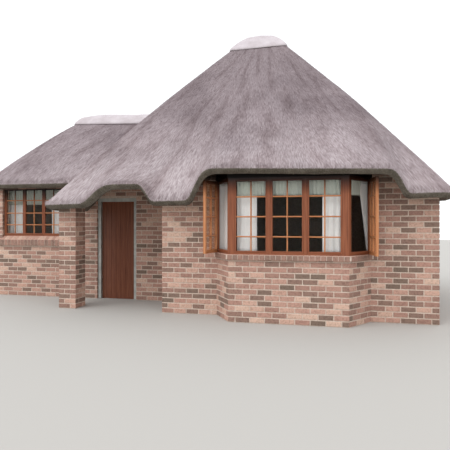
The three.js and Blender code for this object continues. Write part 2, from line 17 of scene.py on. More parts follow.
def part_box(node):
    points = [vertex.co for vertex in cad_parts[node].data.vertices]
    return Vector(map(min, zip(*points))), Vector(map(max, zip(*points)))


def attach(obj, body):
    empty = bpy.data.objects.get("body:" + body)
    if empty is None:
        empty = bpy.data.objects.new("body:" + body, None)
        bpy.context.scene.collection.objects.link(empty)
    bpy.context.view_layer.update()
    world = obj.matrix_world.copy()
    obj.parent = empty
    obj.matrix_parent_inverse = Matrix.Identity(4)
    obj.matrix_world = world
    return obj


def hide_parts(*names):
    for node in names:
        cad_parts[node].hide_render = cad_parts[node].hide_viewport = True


scene = bpy.context.scene
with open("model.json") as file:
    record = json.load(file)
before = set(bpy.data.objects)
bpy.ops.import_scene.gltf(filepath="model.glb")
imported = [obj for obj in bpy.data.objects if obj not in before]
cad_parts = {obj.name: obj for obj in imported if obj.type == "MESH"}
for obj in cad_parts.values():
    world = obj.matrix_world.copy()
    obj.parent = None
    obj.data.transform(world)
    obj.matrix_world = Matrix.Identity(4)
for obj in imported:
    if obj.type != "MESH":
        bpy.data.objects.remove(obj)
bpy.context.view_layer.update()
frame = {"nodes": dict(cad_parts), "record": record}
nodes = frame["nodes"]

# %% [markdown]
# Every length below is in metres, measured as a bricklayer would set the house out: x runs right along
# the front wall from the point in front of the camera, y is 0 on the front wall's face and grows into
# the house, z is up from the ground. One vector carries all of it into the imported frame.

# %% Where the house stands
PLACE = Vector((3.25, -2.655, 0.0))
WALL_FRONT = 0.0
WALL_THICK = 0.23
WING_FRONT = 1.25
WING_BACK = 4.41
WING_LEFT = -7.85
MAIN_LEFT = -3.25
MAIN_RIGHT = 1.36
MAIN_BACK = 5.66
PILLAR_LEFT = -5.32
PILLAR = 0.345
BAY_MIDDLE = -0.955
BAY_HALF_FRONT = 0.95
BAY_HALF_OPENING = 1.285
BAY_OUT = 0.54
BAY_SILL = 1.09
BAY_HEAD = 2.33
BAY_LINE = [
    Vector((BAY_MIDDLE - BAY_HALF_OPENING, 0)),
    Vector((BAY_MIDDLE - BAY_HALF_FRONT, -BAY_OUT)),
    Vector((BAY_MIDDLE + BAY_HALF_FRONT, -BAY_OUT)),
    Vector((BAY_MIDDLE + BAY_HALF_OPENING, 0)),
]
WING_WINDOW = {"left": -7.535, "right": -6.02, "sill": 1.31, "head": 2.385}
SIDE_WINDOW = {"width": 1.51, "sill": 1.09, "head": 1.99}
SIDE_WINDOW_FROM = (MAIN_BACK - SIDE_WINDOW["width"]) / 2
DOOR = {"left": -5.205, "right": -4.305, "head": 2.12}
wing_wide = WING_WINDOW["right"] - WING_WINDOW["left"]
print("wing window", round(wing_wide, 3), "m wide")

# %% [markdown]
# Materials, the sky and the trees that lay reed and brick are all made of nodes. One function turns an
# sRGB hex value into the linear colour that a shader wants. One sets or links a node's inputs, and takes
# a node as its first output. One adds a node with its settings, its ramp's stops and its inputs.

# %% Helpers for nodes, materials and objects


def tone(hex_value):
    parts = [int(hex_value[i : i + 2], 16) / 255 for i in (1, 3, 5)]
    linear = [p / 12.92 if p <= 0.04045 else ((p + 0.055) / 1.055) ** 2.4 for p in parts]
    return (*linear, 1)


def feed(node, inputs):
    for key, value in inputs.items():
        if isinstance(value, bpy.types.Node):
            value = value.outputs[0]
        if isinstance(value, bpy.types.NodeSocket):
            node.id_data.links.new(value, node.inputs[key])
        else:
            node.inputs[key].default_value = value


def add(tree, kind, inputs=None, stops=(), **settings):
    node = tree.nodes.new(kind)
    for key, value in settings.items():
        setattr(node, key, value)
    while stops and len(node.color_ramp.elements) < len(stops):
        node.color_ramp.elements.new(0.5)
    for k, (position, value) in enumerate(stops):
        node.color_ramp.elements[k].position = position
        node.color_ramp.elements[k].color = tone(value)
    feed(node, inputs or {})
    return node


def dress(tree, inputs):
    feed(tree.nodes["Principled BSDF"], inputs)


def paint(tree, colour):
    dress(tree, {"Base Color": colour})


def new_material(name, roughness, inputs=None):
    material = bpy.data.materials.new(name)
    material.use_nodes = True
    dress(material.node_tree, {"Roughness": roughness, **(inputs or {})})
    return material, material.node_tree


def linked(name, data):
    thing = bpy.data.objects.new(name, data)
    scene.collection.objects.link(thing)
    return thing


def new_mesh(name, points, faces=()):
    mesh = bpy.data.meshes.new(name)
    mesh.from_pydata(points, [], faces)
    return mesh


print("white is", tone("#ffffff"))

# %% [markdown]
# The camera repeats the photograph's: eye height, level, turned 14 degrees to the left, and a 40 mm lens.
# A large pale floor, a bright even sky and one very soft sun stand for an overcast day in a studio.

# %% Camera, light and floor
EYE = (3.25, -11.055, 1.6)
FLOOR_HALF = 40
scene.view_settings.view_transform = "Standard"
camera_data = bpy.data.cameras.new("eye")
camera_data.lens = 40
camera_data.sensor_width = 36
camera_data.shift_y = -2 / 450
camera = linked("eye", camera_data)
camera.location = EYE
camera.rotation_euler = (math.radians(90), 0, math.radians(14))
scene.camera = camera

sun_data = bpy.data.lights.new("soft_sun", "SUN")
sun_data.energy = 1.35
sun_data.angle = math.radians(50)
sun = linked("soft_sun", sun_data)
sun.rotation_euler = (math.radians(38), math.radians(-14), math.radians(-10))

scene.world = bpy.data.worlds.new("overcast")
scene.world.use_nodes = True
tree = scene.world.node_tree
direction = add(tree, "ShaderNodeTexCoord").outputs["Generated"]
rise = add(tree, "ShaderNodeSeparateXYZ", {0: direction}).outputs["Z"]
bands = add(tree, "ShaderNodeValToRGB", {0: rise})
horizon, zenith = bands.color_ramp.elements
horizon.color = (1.04, 1.05, 1.06, 1)
zenith.position = 0.8
zenith.color = (1.05, 1.07, 1.1, 1)
feed(tree.nodes["Background"], {"Color": bands, "Strength": 1.1})

paper, _ = new_material("pale_studio_paper", 0.9, {"Base Color": tone("#b4b1ac")})
floor_corners = [(FLOOR_HALF * x, FLOOR_HALF * y, 0) for x, y in ((-1, -1), (1, -1), (1, 1), (-1, 1))]
floor = linked("studio_floor", new_mesh("studio_floor", floor_corners, [(0, 1, 2, 3)]))
floor.data.materials.append(paper)
floor.location.z = -0.002
print("camera", tuple(round(v, 2) for v in camera.location))

# %% [markdown]
# Most finishes here are one cloudy noise with cells of a real size, stretched where the stuff has a
# grain. It colours the surface through a ramp, and roughens it as relief. Photographs of the real
# surface would be easier, but noise stays sharp at any size. Two more functions colour a stalk or brick
# by its own number, and darken a finish by its height, for the deep eaves where little light comes.

# %% Noise of a real size, and two kinds of tint
TIMES = {"data_type": "RGBA", "blend_type": "MULTIPLY"}


def grained(tree, cell, detail, stops=(), relief=None, where=None, roughness=0.5, distortion=0.0):
    """Noise with cells of a size in metres. relief is its depth in metres and its strength."""
    if where is None:
        where = add(tree, "ShaderNodeTexCoord").outputs["Object"]
    fitted = add(tree, "ShaderNodeMapping", {"Vector": where, "Scale": (1 / np.full(3, cell)).tolist()})
    figure = add(tree, "ShaderNodeTexNoise", {
        "Vector": fitted, "Scale": 1.0, "Detail": detail, "Roughness": roughness, "Distortion": distortion,
    })
    if relief:
        bump = add(tree, "ShaderNodeBump", {"Height": figure, "Distance": relief[0], "Strength": relief[1]})
        dress(tree, {"Normal": bump})
    return add(tree, "ShaderNodeValToRGB", {0: figure}, stops) if stops else figure


def by_tint(tree, stops):
    """The colour that a ramp gives for the tint number of each stalk or brick."""
    tint = add(tree, "ShaderNodeAttribute", attribute_name="tint").outputs["Fac"]
    return add(tree, "ShaderNodeValToRGB", {0: tint}, stops)


def tinted_by_height(tree, colour, low, high, stops):
    """The colour times a ramp that runs from a low to a high level above the ground."""
    place = add(tree, "ShaderNodeTexCoord").outputs["Object"]
    height = add(tree, "ShaderNodeSeparateXYZ", {0: place}).outputs["Z"]
    share = add(tree, "ShaderNodeMapRange", {0: height, 1: low, 2: high})
    layer = add(tree, "ShaderNodeValToRGB", {0: share}, stops)
    return add(tree, "ShaderNodeMix", {0: 1.0, 6: colour, 7: layer}, **TIMES).outputs[2]


# %% [markdown]
# Thatch is water reed, dressed so that only the last hand's breadth of each stalk shows. Weather turns it
# from straw to a pinkish grey, paler towards the eave, with cloudy darker patches and streaks of damp
# about 0.4 m wide down the slope. Stalks are about 7 mm thick, too fine for this view, so the ground
# between them is combed in streaks 20 mm wide and 160 mm long. They follow the slope, because the roof's
# UV map runs along the eave and up to the ridge in metres.

# %% Weathered reed, combed down the slope
PATCHES = [(0.3, "#9b8f92"), (0.5, "#b3a8aa"), (0.7, "#c5babc")]
PALER_LOW_DOWN = (2.1, 3.6, [(0.0, "#ffffff"), (1.0, "#cfcbcd")])
DAMP_STREAKS = [(0.32, "#d2caca"), (0.5, "#f6f4f4"), (0.62, "#ffffff")]
COMBED = [(0.3, "#c3bcbc"), (0.62, "#ffffff")]
STALK_TINTS = [(0.0, "#cac2c2"), (0.4, "#e7e2e2"), (1.0, "#f8f6f6")]


def weather(tree, slope, shaded):
    """Gives a reed material its patches, its pale foot, its streaks of damp, and a shade of its own."""
    patches = grained(tree, 1.6, 5, PATCHES, roughness=0.62)
    colour = tinted_by_height(tree, patches, *PALER_LOW_DOWN)
    streaks = grained(tree, (0.42, 1.2, 1), 4, DAMP_STREAKS, where=slope, roughness=0.6)
    for layer in (streaks, shaded):
        colour = add(tree, "ShaderNodeMix", {0: 1.0, 6: colour, 7: layer}, **TIMES).outputs[2]
    paint(tree, colour)


reed, tree = new_material("weathered_combed_reed", 0.92)
along = add(tree, "ShaderNodeUVMap", uv_map="UVMap")
weather(tree, along, grained(tree, (0.02, 0.16, 1), 3, COMBED, (0.005, 0.6), along))
print("reed", len(tree.nodes), "nodes")

# %% Single stalks take a light or dark tint each
stalk, tree = new_material("weathered_reed_stalk", 0.9)
slope = add(tree, "ShaderNodeAttribute", attribute_name="slope").outputs["Vector"]
weather(tree, slope, by_tint(tree, STALK_TINTS))

# %% The eave's cut face shows butt ends, browner because rain doesn't bleach them
cut_reed, tree = new_material("cut_reed_ends", 0.95)
ends = grained(tree, 0.016, 2, relief=(0.006, 0.8))
both = add(tree, "ShaderNodeMix", {0: 0.5, 2: ends, 3: grained(tree, 0.15, 4)})
stops = [(0.34, "#4a443a"), (0.5, "#645d52"), (0.66, "#7e776c")]
paint(tree, add(tree, "ShaderNodeValToRGB", {0: both}, stops))

cut_stalk, tree = new_material("cut_reed_stalk", 0.9)
paint(tree, by_tint(tree, [(0.0, "#474037"), (0.6, "#6a6358"), (1.0, "#857e73")]))
print("reed materials", reed.name, stalk.name, cut_reed.name, cut_stalk.name)

# %% [markdown]
# The ridge is capped with mortar, floated smooth by hand and bleached by weather: almost white, with
# pinkish grey clouds of lichen about a quarter of a metre across and a sandy grain.

# %% Floated ridge mortar
ridge_mortar, tree = new_material("floated_ridge_mortar", 0.85)
LICHEN = [(0.3, "#b1a7a9"), (0.5, "#bdb4b7"), (0.72, "#c9c1c4")]
paint(tree, grained(tree, 0.25, 6, LICHEN, roughness=0.65))
grained(tree, 0.02, 4, relief=(0.004, 0.5))
print("ridge", ridge_mortar.name)

# %% [markdown]
# Face brick is clay fired hard: pinkish brown, some bricks nearly brown-black from the kiln, some pale.
# Each brick carries its own tint number, and a mottle of about 30 mm breaks up its face. The joints are
# pale sandy mortar, which the walls' solids show between the bricks. The courses right under the eaves
# are darkened with painted shade, where the deep eaves keep light from them.

# %% Fired face brick and its mortar
# Painted shade: brick and mortar darken from 2.31 m to 2.4 m up, under the eaves.
EAVE_PAINTED_SHADE = (2.31, 2.4, [(0.0, "#ffffff"), (1.0, "#5c5046")])
FIRED = [
    (0.0, "#7a685b"), (0.2, "#8f7366"), (0.42, "#a37f71"),
    (0.64, "#b58d7e"), (0.84, "#c59f8e"), (1.0, "#d2b3a0"),
]
MOTTLE = [(0.3, "#b3a49c"), (0.55, "#ffffff"), (0.75, "#f3d9cc")]
SAND = [(0.3, "#b5a191"), (0.5, "#cab7a8"), (0.7, "#dacbbd")]
face_brick, tree = new_material("fired_face_brick", 0.85)
mottle = grained(tree, 0.03, 5, MOTTLE, (0.003, 0.6), roughness=0.7)
mottled = add(tree, "ShaderNodeMix", {0: 0.75, 6: by_tint(tree, FIRED), 7: mottle}, **TIMES).outputs[2]
paint(tree, tinted_by_height(tree, mottled, *EAVE_PAINTED_SHADE))

mortar, tree = new_material("sandy_joint_mortar", 0.95)
sanded = grained(tree, 0.04, 6, SAND, (0.003, 0.5), roughness=0.7)
paint(tree, tinted_by_height(tree, sanded, *EAVE_PAINTED_SHADE))
print("brick materials", face_brick.name, mortar.name)

# %% [markdown]
# The joinery is a red hardwood under satin varnish, which has gone orange where the sun reaches it. From
# 2.04 m up, under the eave, it darkens with painted shade. Grain runs along each bar, because each bar's UV
# map does, with figure about 12 mm apart across it. A weak clear coat gives the varnish its highlight.

# %% Varnished hardwood, in the colours it has weathered to
# Painted shade: the joinery darkens from 2.04 m to 2.31 m up, under the eave.
HEAD_PAINTED_SHADE = (2.04, 2.31, [(0.0, "#ffffff"), (0.5, "#b3a89f"), (1.0, "#43382f")])


def varnished(name, stops, coat=0.1, shine=0.22):
    coating = {"Coat Weight": coat, "Coat Roughness": 0.25, "Specular IOR Level": shine}
    material, tree = new_material(name, 0.45, coating)
    along = add(tree, "ShaderNodeUVMap", uv_map="UVMap")
    grain = grained(tree, (0.5, 0.012, 1), 5, stops, (0.0015, 0.4), along, distortion=0.6)
    # Every varnish takes the painted shade under the eave.
    paint(tree, tinted_by_height(tree, grain, *HEAD_PAINTED_SHADE))
    return material


red_posts = varnished("red_varnished_posts", [(0.28, "#6d3d27"), (0.5, "#864d34"), (0.72, "#9d6141")])
orange_bars = varnished("bleached_orange_bars", [(0.28, "#9c623f"), (0.5, "#bd7d52"), (0.72, "#d2976c")])
# The beam over the bay is painted near-black: painted shade under the eave.
beam_painted_shade_stops = [(0.28, "#2a1b13"), (0.5, "#38241a"), (0.72, "#462e20")]
beam_in_painted_shade = varnished("painted_shade_beam_timber", beam_painted_shade_stops, 0.0, 0.12)
door_boards = varnished("brown_varnished_boards", [(0.28, "#5b3424"), (0.5, "#724330"), (0.72, "#86543c")])
print("timber", red_posts.name, orange_bars.name, beam_in_painted_shade.name, door_boards.name)

# %% [markdown]
# Float glass is clear and nearly unseen, except in the open casements, which are seen aslant and carry
# an orange tint, partly dust and partly a painted reflection. The curtains are a white plain weave, drawn
# 4 to 6 mm coarse so that it shows, and the valances a pale green net that lets light through. The door's
# frame is pressed steel under chalky grey paint, and the floor is concrete with the clouds that a steel
# float leaves.

# %% Glass, cloth, painted steel and concrete


def float_glass(name, roughness, hex_value, cover):
    return new_material(name, roughness, {"Base Color": tone(hex_value), "Alpha": cover, "IOR": 1.52})[0]


def woven_cloth(name, stops, cover):
    material, tree = new_material(name, 0.9, {"Sheen Weight": 0.25, "Alpha": cover})
    along = add(tree, "ShaderNodeUVMap", uv_map="UVMap")
    paint(tree, grained(tree, (0.006, 0.004, 1), 2, stops, (0.001, 0.3), along))
    return material


glass = float_glass("clear_float_glass", 0.04, "#1d2624", 0.06)
# Partly dust, partly painted reflection: the casement glass carries an orange tint.
dust_and_reflection_glass = float_glass("dust_and_painted_reflection_glass", 0.3, "#b47d54", 0.3)
cloth = woven_cloth("white_woven_curtain", [(0.3, "#f3f2ee"), (0.7, "#fbfbf9")], 1.0)
net = woven_cloth("pale_green_net", [(0.3, "#cfd6c9"), (0.7, "#e3e8dd")], 0.62)
painted_steel, tree = new_material("grey_painted_steel", 0.5)
paint(tree, grained(tree, 0.12, 4, [(0.3, "#9d9f9a"), (0.7, "#bec0ba")]))
concrete, tree = new_material("floated_concrete", 0.8)
paint(tree, grained(tree, 0.3, 6, [(0.3, "#837b73"), (0.7, "#a59c92")]))
print("materials", len(bpy.data.materials))

# %% [markdown]
# A finished piece keeps its object at the origin and its place in its mesh. One helper takes points of
# the house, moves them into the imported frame, and makes the object. Faces may carry UVs and materials.
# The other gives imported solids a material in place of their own.

# %% Make a piece, or coat a solid


def new_object(name, mesh):
    piece = linked(name, mesh)
    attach(piece, "root")
    return piece


def new_piece(name, points, faces, materials, uvs, face_materials=None, smooth=False):
    mesh = new_mesh(name, [Vector(p) + PLACE for p in points], faces)
    for material in materials:
        mesh.materials.append(material)
    layer = mesh.uv_layers.new(name="UVMap")
    layer.data.foreach_set("uv", np.asarray(uvs, np.float32).ravel())
    if face_materials is not None:
        mesh.polygons.foreach_set("material_index", face_materials)
    mesh.polygons.foreach_set("use_smooth", [smooth] * len(mesh.polygons))
    mesh.validate()
    mesh.update()
    return new_object(name, mesh)


def coat_solids(names, material):
    for name in names:
        nodes[name].data.materials.clear()
        nodes[name].data.materials.append(material)


def triangles(piece):
    return sum(len(p.vertices) - 2 for p in piece.data.polygons)


print("floor", triangles(floor), "triangles")


# %% [markdown]
# ## The thatch
# A hipped thatch is one surface swept from eave to ridge. A sculpted or scanned roof would be heavier,
# and would know no downhill. Here stations go round the eave, and each has a point on the ridge that
# its stalks run up to. Levels climb from 0 at the eave to 1 at the ridge. The eave lifts as an eyebrow
# over the bay and as an arch over the porch, and the lift fades up the slope.

# %% The roof's lines
MAIN_EAVE = {"left": -5.555, "right": 1.61, "front": -0.45, "back": 6.11}
WING_EAVE = {"left": -8.11, "front": 0.9, "back": 4.76}
RIDGE_Y = 2.83
MAIN_RIDGE = {"left": -2.18, "right": -1.74, "top": 5.86}
WING_RIDGE = {"left": -6.27, "top": 4.2, "fall": 0.045}
MAIN_CORNER = 0.45
WING_CORNER = 0.6
WING_END = -2.3
LOW_EAVE_LEFT = 1.925
LOW_EAVE_RIGHT = 2.06
WING_EAVE_TOP = 2.43
CUT_HEIGHT = 0.085
CUT_DEPTH = 0.12
THICK = 0.3
THINNER_WHERE_LIFTED = 0.11
BROW = {"foot_left": -2.7, "left": -1.97, "right": 0.48, "foot_right": 0.915}
BROW_TOP_LEFT = 2.465
BROW_TOP_RIGHT = 2.395
BROW_OUT = 0.35
BROW_REACH = 0.6
BROW_WIDER_UNDER = 0.07
UNDER_LEADS = 0.07
ARCH = {"foot_left": -4.66, "left": -3.89, "right": -3.64, "foot_right": -3.25, "top": 2.275}
ARCH_REACH = 0.26
SHOULDER = 2.2
OUTER_SQUARENESS = 0.6


def unit(rows):
    return rows / np.maximum(np.linalg.norm(rows, axis=1)[:, None], 1e-6)


def climb(x, foot, top):
    """From 0 at the foot to 1 at the top, rounding off more slowly towards the top."""
    share = np.clip((x - foot) / (top - foot), 0, 1)
    eased = share * share * (3 - 2 * share)
    return 1 - (1 - eased) ** SHOULDER


def low_eave(x):
    return np.interp(x, (MAIN_EAVE["left"], MAIN_EAVE["right"]), (LOW_EAVE_LEFT, LOW_EAVE_RIGHT))


print("low eave over the pillar", round(float(low_eave(PILLAR_LEFT)), 3), "m")


def lift_on_front(x, wider=0.0):
    """The share that is lifted at x, how far out and up it goes, and the level where it ends."""
    low = low_eave(x)
    across = (x - BROW["left"]) / (BROW["right"] - BROW["left"])
    brow_top = BROW_TOP_LEFT + (BROW_TOP_RIGHT - BROW_TOP_LEFT) * across
    brow = climb(x, BROW["foot_left"] - wider, BROW["left"] - wider)
    brow = brow * climb(x, BROW["foot_right"] + wider, BROW["right"] + wider)
    arch = climb(x, ARCH["foot_left"], ARCH["left"]) * climb(x, ARCH["foot_right"], ARCH["right"])
    up = (brow_top - low) * brow + (ARCH["top"] - low) * arch
    return brow + arch, -BROW_OUT * brow, up, np.where(arch > 0, ARCH_REACH, BROW_REACH)


def lift_at(rim, level, squareness, wider=0.0):
    ridge_x = rim["eave"][:, 0] * (1 - level) + rim["ridge"][:, 0] * level
    x = rim["eave"][:, 0] * (1 - squareness) + ridge_x * squareness
    share, out, up, reach = lift_on_front(x, wider)
    left = rim["frontness"] * np.maximum(0, 1 - level / reach) ** 2
    return out * left, up * left, share * np.sqrt(left)


def slope_points(rim, level, raised=0.0, lift=None):
    points = rim["eave"] * (1 - level) + rim["ridge"] * level
    out, up = lift or lift_at(rim, level, OUTER_SQUARENESS)[:2]
    points[:, 1] += out
    points[:, 2] += up + raised + 4 * rim["bulge"] * level * (1 - level)
    return points


def under_points(rim, level):
    """The underside lifts earlier than the outside on the flanks, by a limited lead."""
    out, up, thinner = lift_at(rim, level, 1, BROW_WIDER_UNDER)
    outside_up = lift_at(rim, level, OUTER_SQUARENESS)[1]
    share = np.minimum(1, (outside_up + UNDER_LEADS) / np.maximum(up, 1e-4))
    return slope_points(rim, level, THINNER_WHERE_LIFTED * thinner * share - THICK, (out * share, up * share))


def cut_points(rim):
    """The foot of the cut face: square to the edge, and inward along the stalks, straighter in front."""
    edge = slope_points(rim, 0)
    run = unit(np.roll(edge, -1, 0) - np.roll(edge, 1, 0))
    down = unit(np.array([0, 0, -1.0]) + run * run[:, 2:])
    inward = (rim["ridge"] - rim["eave"]) * (1, 1, 0)
    leans = np.linalg.norm(inward, axis=1)[:, None] > 1e-3
    inward = unit(inward)
    inward = unit(inward + (np.array([0, 1.0, 0]) - inward) * (rim["frontness"] / 2)[:, None])
    return edge + down * CUT_HEIGHT + np.where(leans, inward, 0) * CUT_DEPTH


# %% Stations round the two eaves


def between(low, high, step=0.2):
    count = max(1, round(abs(high - low) / step))
    return [low + (high - low) * i / count for i in range(count)]


def arc(cx, cy, radius, from_degrees, parts):
    angles = [math.radians(from_degrees + 90 * i / parts) for i in range(parts)]
    return [(cx + radius * math.cos(a), cy + radius * math.sin(a)) for a in angles]


def left_end(e, r, parts):
    """From the back eave round a roof's left end to its front one."""
    plan = arc(e["left"] + r, e["back"] - r, r, 90, parts)
    plan += [(e["left"], y) for y in between(e["back"] - r, e["front"] + r)]
    return plan + arc(e["left"] + r, e["front"] + r, r, 180, parts)


def main_rim():
    e, r = MAIN_EAVE, MAIN_CORNER
    stops = [
        e["left"] + r, ARCH["foot_left"], ARCH["left"], ARCH["right"], ARCH["foot_right"],
        BROW["foot_left"], BROW["left"], BROW["right"], BROW["foot_right"], e["right"] - r,
    ]
    steps = [0.14, 0.04, 0.15, 0.03, 0.1, 0.035, 0.16, 0.03, 0.12]
    front = [x for low, high, step in zip(stops, stops[1:], steps) for x in between(low, high, step)]
    plan = [(x, e["front"]) for x in front]
    plan += arc(e["right"] - r, e["front"] + r, r, -90, 9)
    plan += [(e["right"], y) for y in between(e["front"] + r, e["back"] - r)]
    plan += arc(e["right"] - r, e["back"] - r, r, 0, 9)
    plan += [(x, e["back"]) for x in between(e["right"] - r, e["left"] + r)]
    plan = np.array(plan + left_end(e, r, 9))
    level = np.ones(len(plan))
    ridge_x = np.interp(plan[:, 0], (stops[0], stops[-1]), (MAIN_RIDGE["left"], MAIN_RIDGE["right"]))
    return {
        "eave": np.column_stack([plan, low_eave(plan[:, 0])]),
        "ridge": np.column_stack([ridge_x, level * RIDGE_Y, level * MAIN_RIDGE["top"]]),
        "frontness": np.clip((e["front"] + r - plan[:, 1]) / r, 0, 1),
        "bulge": 0.105,
    }


def wing_rim():
    e, r = WING_EAVE, WING_CORNER
    plan = [(x, e["front"]) for x in between(e["left"] + r, WING_END)]
    plan += [(WING_END, e["front"]), (WING_END, RIDGE_Y)]
    plan += [(x, e["back"]) for x in between(WING_END, e["left"] + r)]
    plan = np.array(plan + left_end(e, r, 10))
    level = np.ones(len(plan))
    ridge_x = np.interp(plan[:, 0], (e["left"] + r, WING_END), (WING_RIDGE["left"], WING_END))
    fall = (ridge_x - WING_RIDGE["left"]) * WING_RIDGE["fall"]
    return {
        "eave": np.column_stack([plan, level * WING_EAVE_TOP]),
        "ridge": np.column_stack([ridge_x, level * RIDGE_Y, WING_RIDGE["top"] - fall]),
        "frontness": level * 0,
        "bulge": 0.1,
    }


rims = {"main": main_rim(), "wing": wing_rim()}
print("stations", {name: len(rim["eave"]) for name, rim in rims.items()})

# %% [markdown]
# The body of the thatch is a closed solid of rings: down the outer slope, round the dressed edge of the
# eave, across the cut face, and back up the underside. A little noise keeps the dressed slope from
# looking machined. Each vertex remembers the downhill direction, and each face its kind: the slope, the
# cut face, the underside, the rim along the edge, or bare where something covers it. The wing's rings
# run on into the main roof, so they are drawn back to end a little way inside its slope.

# %% Rings to a closed solid
OUTER, CUT, UNDER, BARE, RIM = range(5)
RAGGED_EDGE = 1.9
LONG_WAVE = 1.6
SHORT_WAVE = 7
SHORT_SHARE = 0.4
LAPPED = 0.05
LONG_WAY = 8.0
MIDWAY = 10
DRESSED = 0.03
ROUNDED_TO = 0.3
LIP_AT = 0.93
TURNED_TO = 0.06
REED_UNEVEN = 0.009


def surface_of(piece):
    mesh = piece.data
    return BVHTree.FromPolygons([v.co for v in mesh.vertices], [p.vertices for p in mesh.polygons])


def stop_inside(mesh, rings, surface):
    """Draws back what would run on along its ring, to a little way inside another roof's slope."""
    count = len(rings[0])
    drawn_back = set()
    for k, ring in enumerate(rings):
        way = Vector(ring[MIDWAY + 1] - ring[MIDWAY]).normalized()
        for vertex in mesh.vertices[k * count : (k + 1) * count]:
            hit, _, _, reached = surface.ray_cast(vertex.co - way * LONG_WAY, way)
            if hit is not None and reached + LAPPED < LONG_WAY:
                vertex.co = hit + way * LAPPED
                drawn_back.add(vertex.index)
    for edge in mesh.edges:
        edge.use_edge_sharp = drawn_back.issuperset(edge.vertices)
    mesh.update()


def unsettle(mesh, count, kinds, unevenness):
    """Waves about 0.6 m and 0.15 m long along the normals, stronger on the ragged cut face."""
    normals = [Vector(v.vector) for v in mesh.vertex_normals]
    for vertex, normal in zip(mesh.vertices, normals):
        wave = noise.noise(vertex.co * LONG_WAVE) + SHORT_SHARE * noise.noise(vertex.co * SHORT_WAVE)
        ragged = RAGGED_EDGE if kinds[min(vertex.index // count, len(kinds) - 1)] == CUT else 1
        vertex.co += normal * wave * unevenness * ragged


def ringed_solid(name, rings, kinds, materials, unevenness, crown=0.0, surface=None):
    count = len(rings[0])
    points = np.vstack([*rings, rings[0].mean(0) + (0, 0, crown), rings[-1].mean(0)])
    steps = [lower - ring for ring, lower in zip(rings, rings[1:])]
    spans = [np.linalg.norm(np.roll(ring, -1, 0) - ring, axis=1) for ring in rings]
    u = np.cumsum([0, *max(spans, key=np.sum)])
    v = np.cumsum([0, *(np.linalg.norm(step, axis=1).mean() for step in steps)])
    faces, uvs, face_kinds = [], [], []
    for k, kind in enumerate(kinds):
        for i in range(count):
            a, b = k * count + i, k * count + (i + 1) % count
            faces.append((a, a + count, b + count, b))
            uvs += [(u[i], -v[k]), (u[i], -v[k + 1]), (u[i + 1], -v[k + 1]), (u[i + 1], -v[k])]
            face_kinds.append(kind)
    top, bottom = len(points) - 2, len(points) - 1
    last = len(kinds) * count
    for i in range(count):
        j = (i + 1) % count
        faces += [(top, i, j), (bottom, last + j, last + i)]
        uvs += [(u[i], 0), (u[i], 0), (u[i + 1], 0), (u[i], 0), (u[i + 1], 0), (u[i], 0)]
        face_kinds += [kinds[0], kinds[-1]]
    used = [0 if kind == RIM else min(kind, len(materials) - 1) for kind in face_kinds]
    piece = new_piece(name, points, faces, materials, uvs, used, smooth=True)
    mesh = piece.data
    unsettle(mesh, count, kinds, unevenness)
    downhill = unit(np.vstack([*steps, steps[-1], np.zeros((2, 3))]))
    way = mesh.attributes.new("downhill", "FLOAT_VECTOR", "POINT")
    way.data.foreach_set("vector", downhill.astype(np.float32).ravel())
    mesh.attributes.new("kind", "INT", "FACE").data.foreach_set("value", face_kinds)
    if surface:
        stop_inside(mesh, rings, surface)
    return piece


def thatch_body(name, rim, levels, under_levels, surface=None):
    outer = [slope_points(rim, level) for level in levels]
    edge, cut = slope_points(rim, 0), cut_points(rim)
    before = edge + unit(outer[-1] - edge) * DRESSED
    after = edge + (cut - edge) * ROUNDED_TO
    lip = edge + (cut - edge) * LIP_AT
    under = [under_points(rim, level) for level in reversed(under_levels)]
    turned = cut + (under[0] - cut) * TURNED_TO
    rings = [*outer, before, before * 0.25 + edge * 0.5 + after * 0.25, after, lip, turned, *under]
    kinds = [OUTER] * len(outer) + [RIM] + [CUT] * 3 + [UNDER] * len(under)
    materials = [reed, cut_reed, cut_reed]
    return ringed_solid(name, rings, kinds, materials, REED_UNEVEN, 0.0, surface)


# %% The two thatches
TOP_LEVEL = 0.98
fine = [TOP_LEVEL - 0.04 * k for k in range(20)] + [0.18, 0.15, 0.12, 0.09, 0.065, 0.04, 0.02]
coarse = [TOP_LEVEL - 0.06 * k for k in range(16)] + [0.04]
main_under = [0.92, 0.75, 0.55, 0.4, 0.3, 0.22, 0.16, 0.09]
wing_under = [0.9, 0.5, 0.3, 0.15]
main_body = thatch_body("main_thatch_body", rims["main"], fine, main_under)
main_surface = surface_of(main_body)
wing_body = thatch_body("wing_thatch_body", rims["wing"], coarse, wing_under, main_surface)
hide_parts("main_thatch")
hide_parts("wing_thatch")
print("thatch bodies", triangles(main_body), triangles(wing_body))

# %% [markdown]
# Over the body lie the stalks themselves. A particle system could strew them, but Geometry Nodes say each
# step in the open: points at random on the faces of one kind, each with the slope's normal, and on each
# a three-sided cone as the stalk, its tip buried uphill and its butt end showing downhill. The two axes,
# normal and downhill, make its rotation, and a small random pitch and yaw is the thatcher's comb. A
# stalk is drawn 12 mm wide, coarser than the real 7 mm, so that it shows. Every random draw has a fixed
# seed.

# %% Parts that both trees share, and running a tree
NAMED = "GeometryNodeInputNamedAttribute"
STORE = "GeometryNodeStoreNamedAttribute"


def new_tree(name, inputs):
    """A tree with inputs of named kinds, and what it is given through them."""
    tree = bpy.data.node_groups.new(name, "GeometryNodeTree")
    for label, kind in inputs.items():
        tree.interface.new_socket(label, in_out="INPUT", socket_type="NodeSocket" + kind)
    tree.interface.new_socket("Geometry", in_out="OUTPUT", socket_type="NodeSocketGeometry")
    return tree, add(tree, "NodeGroupInput").outputs


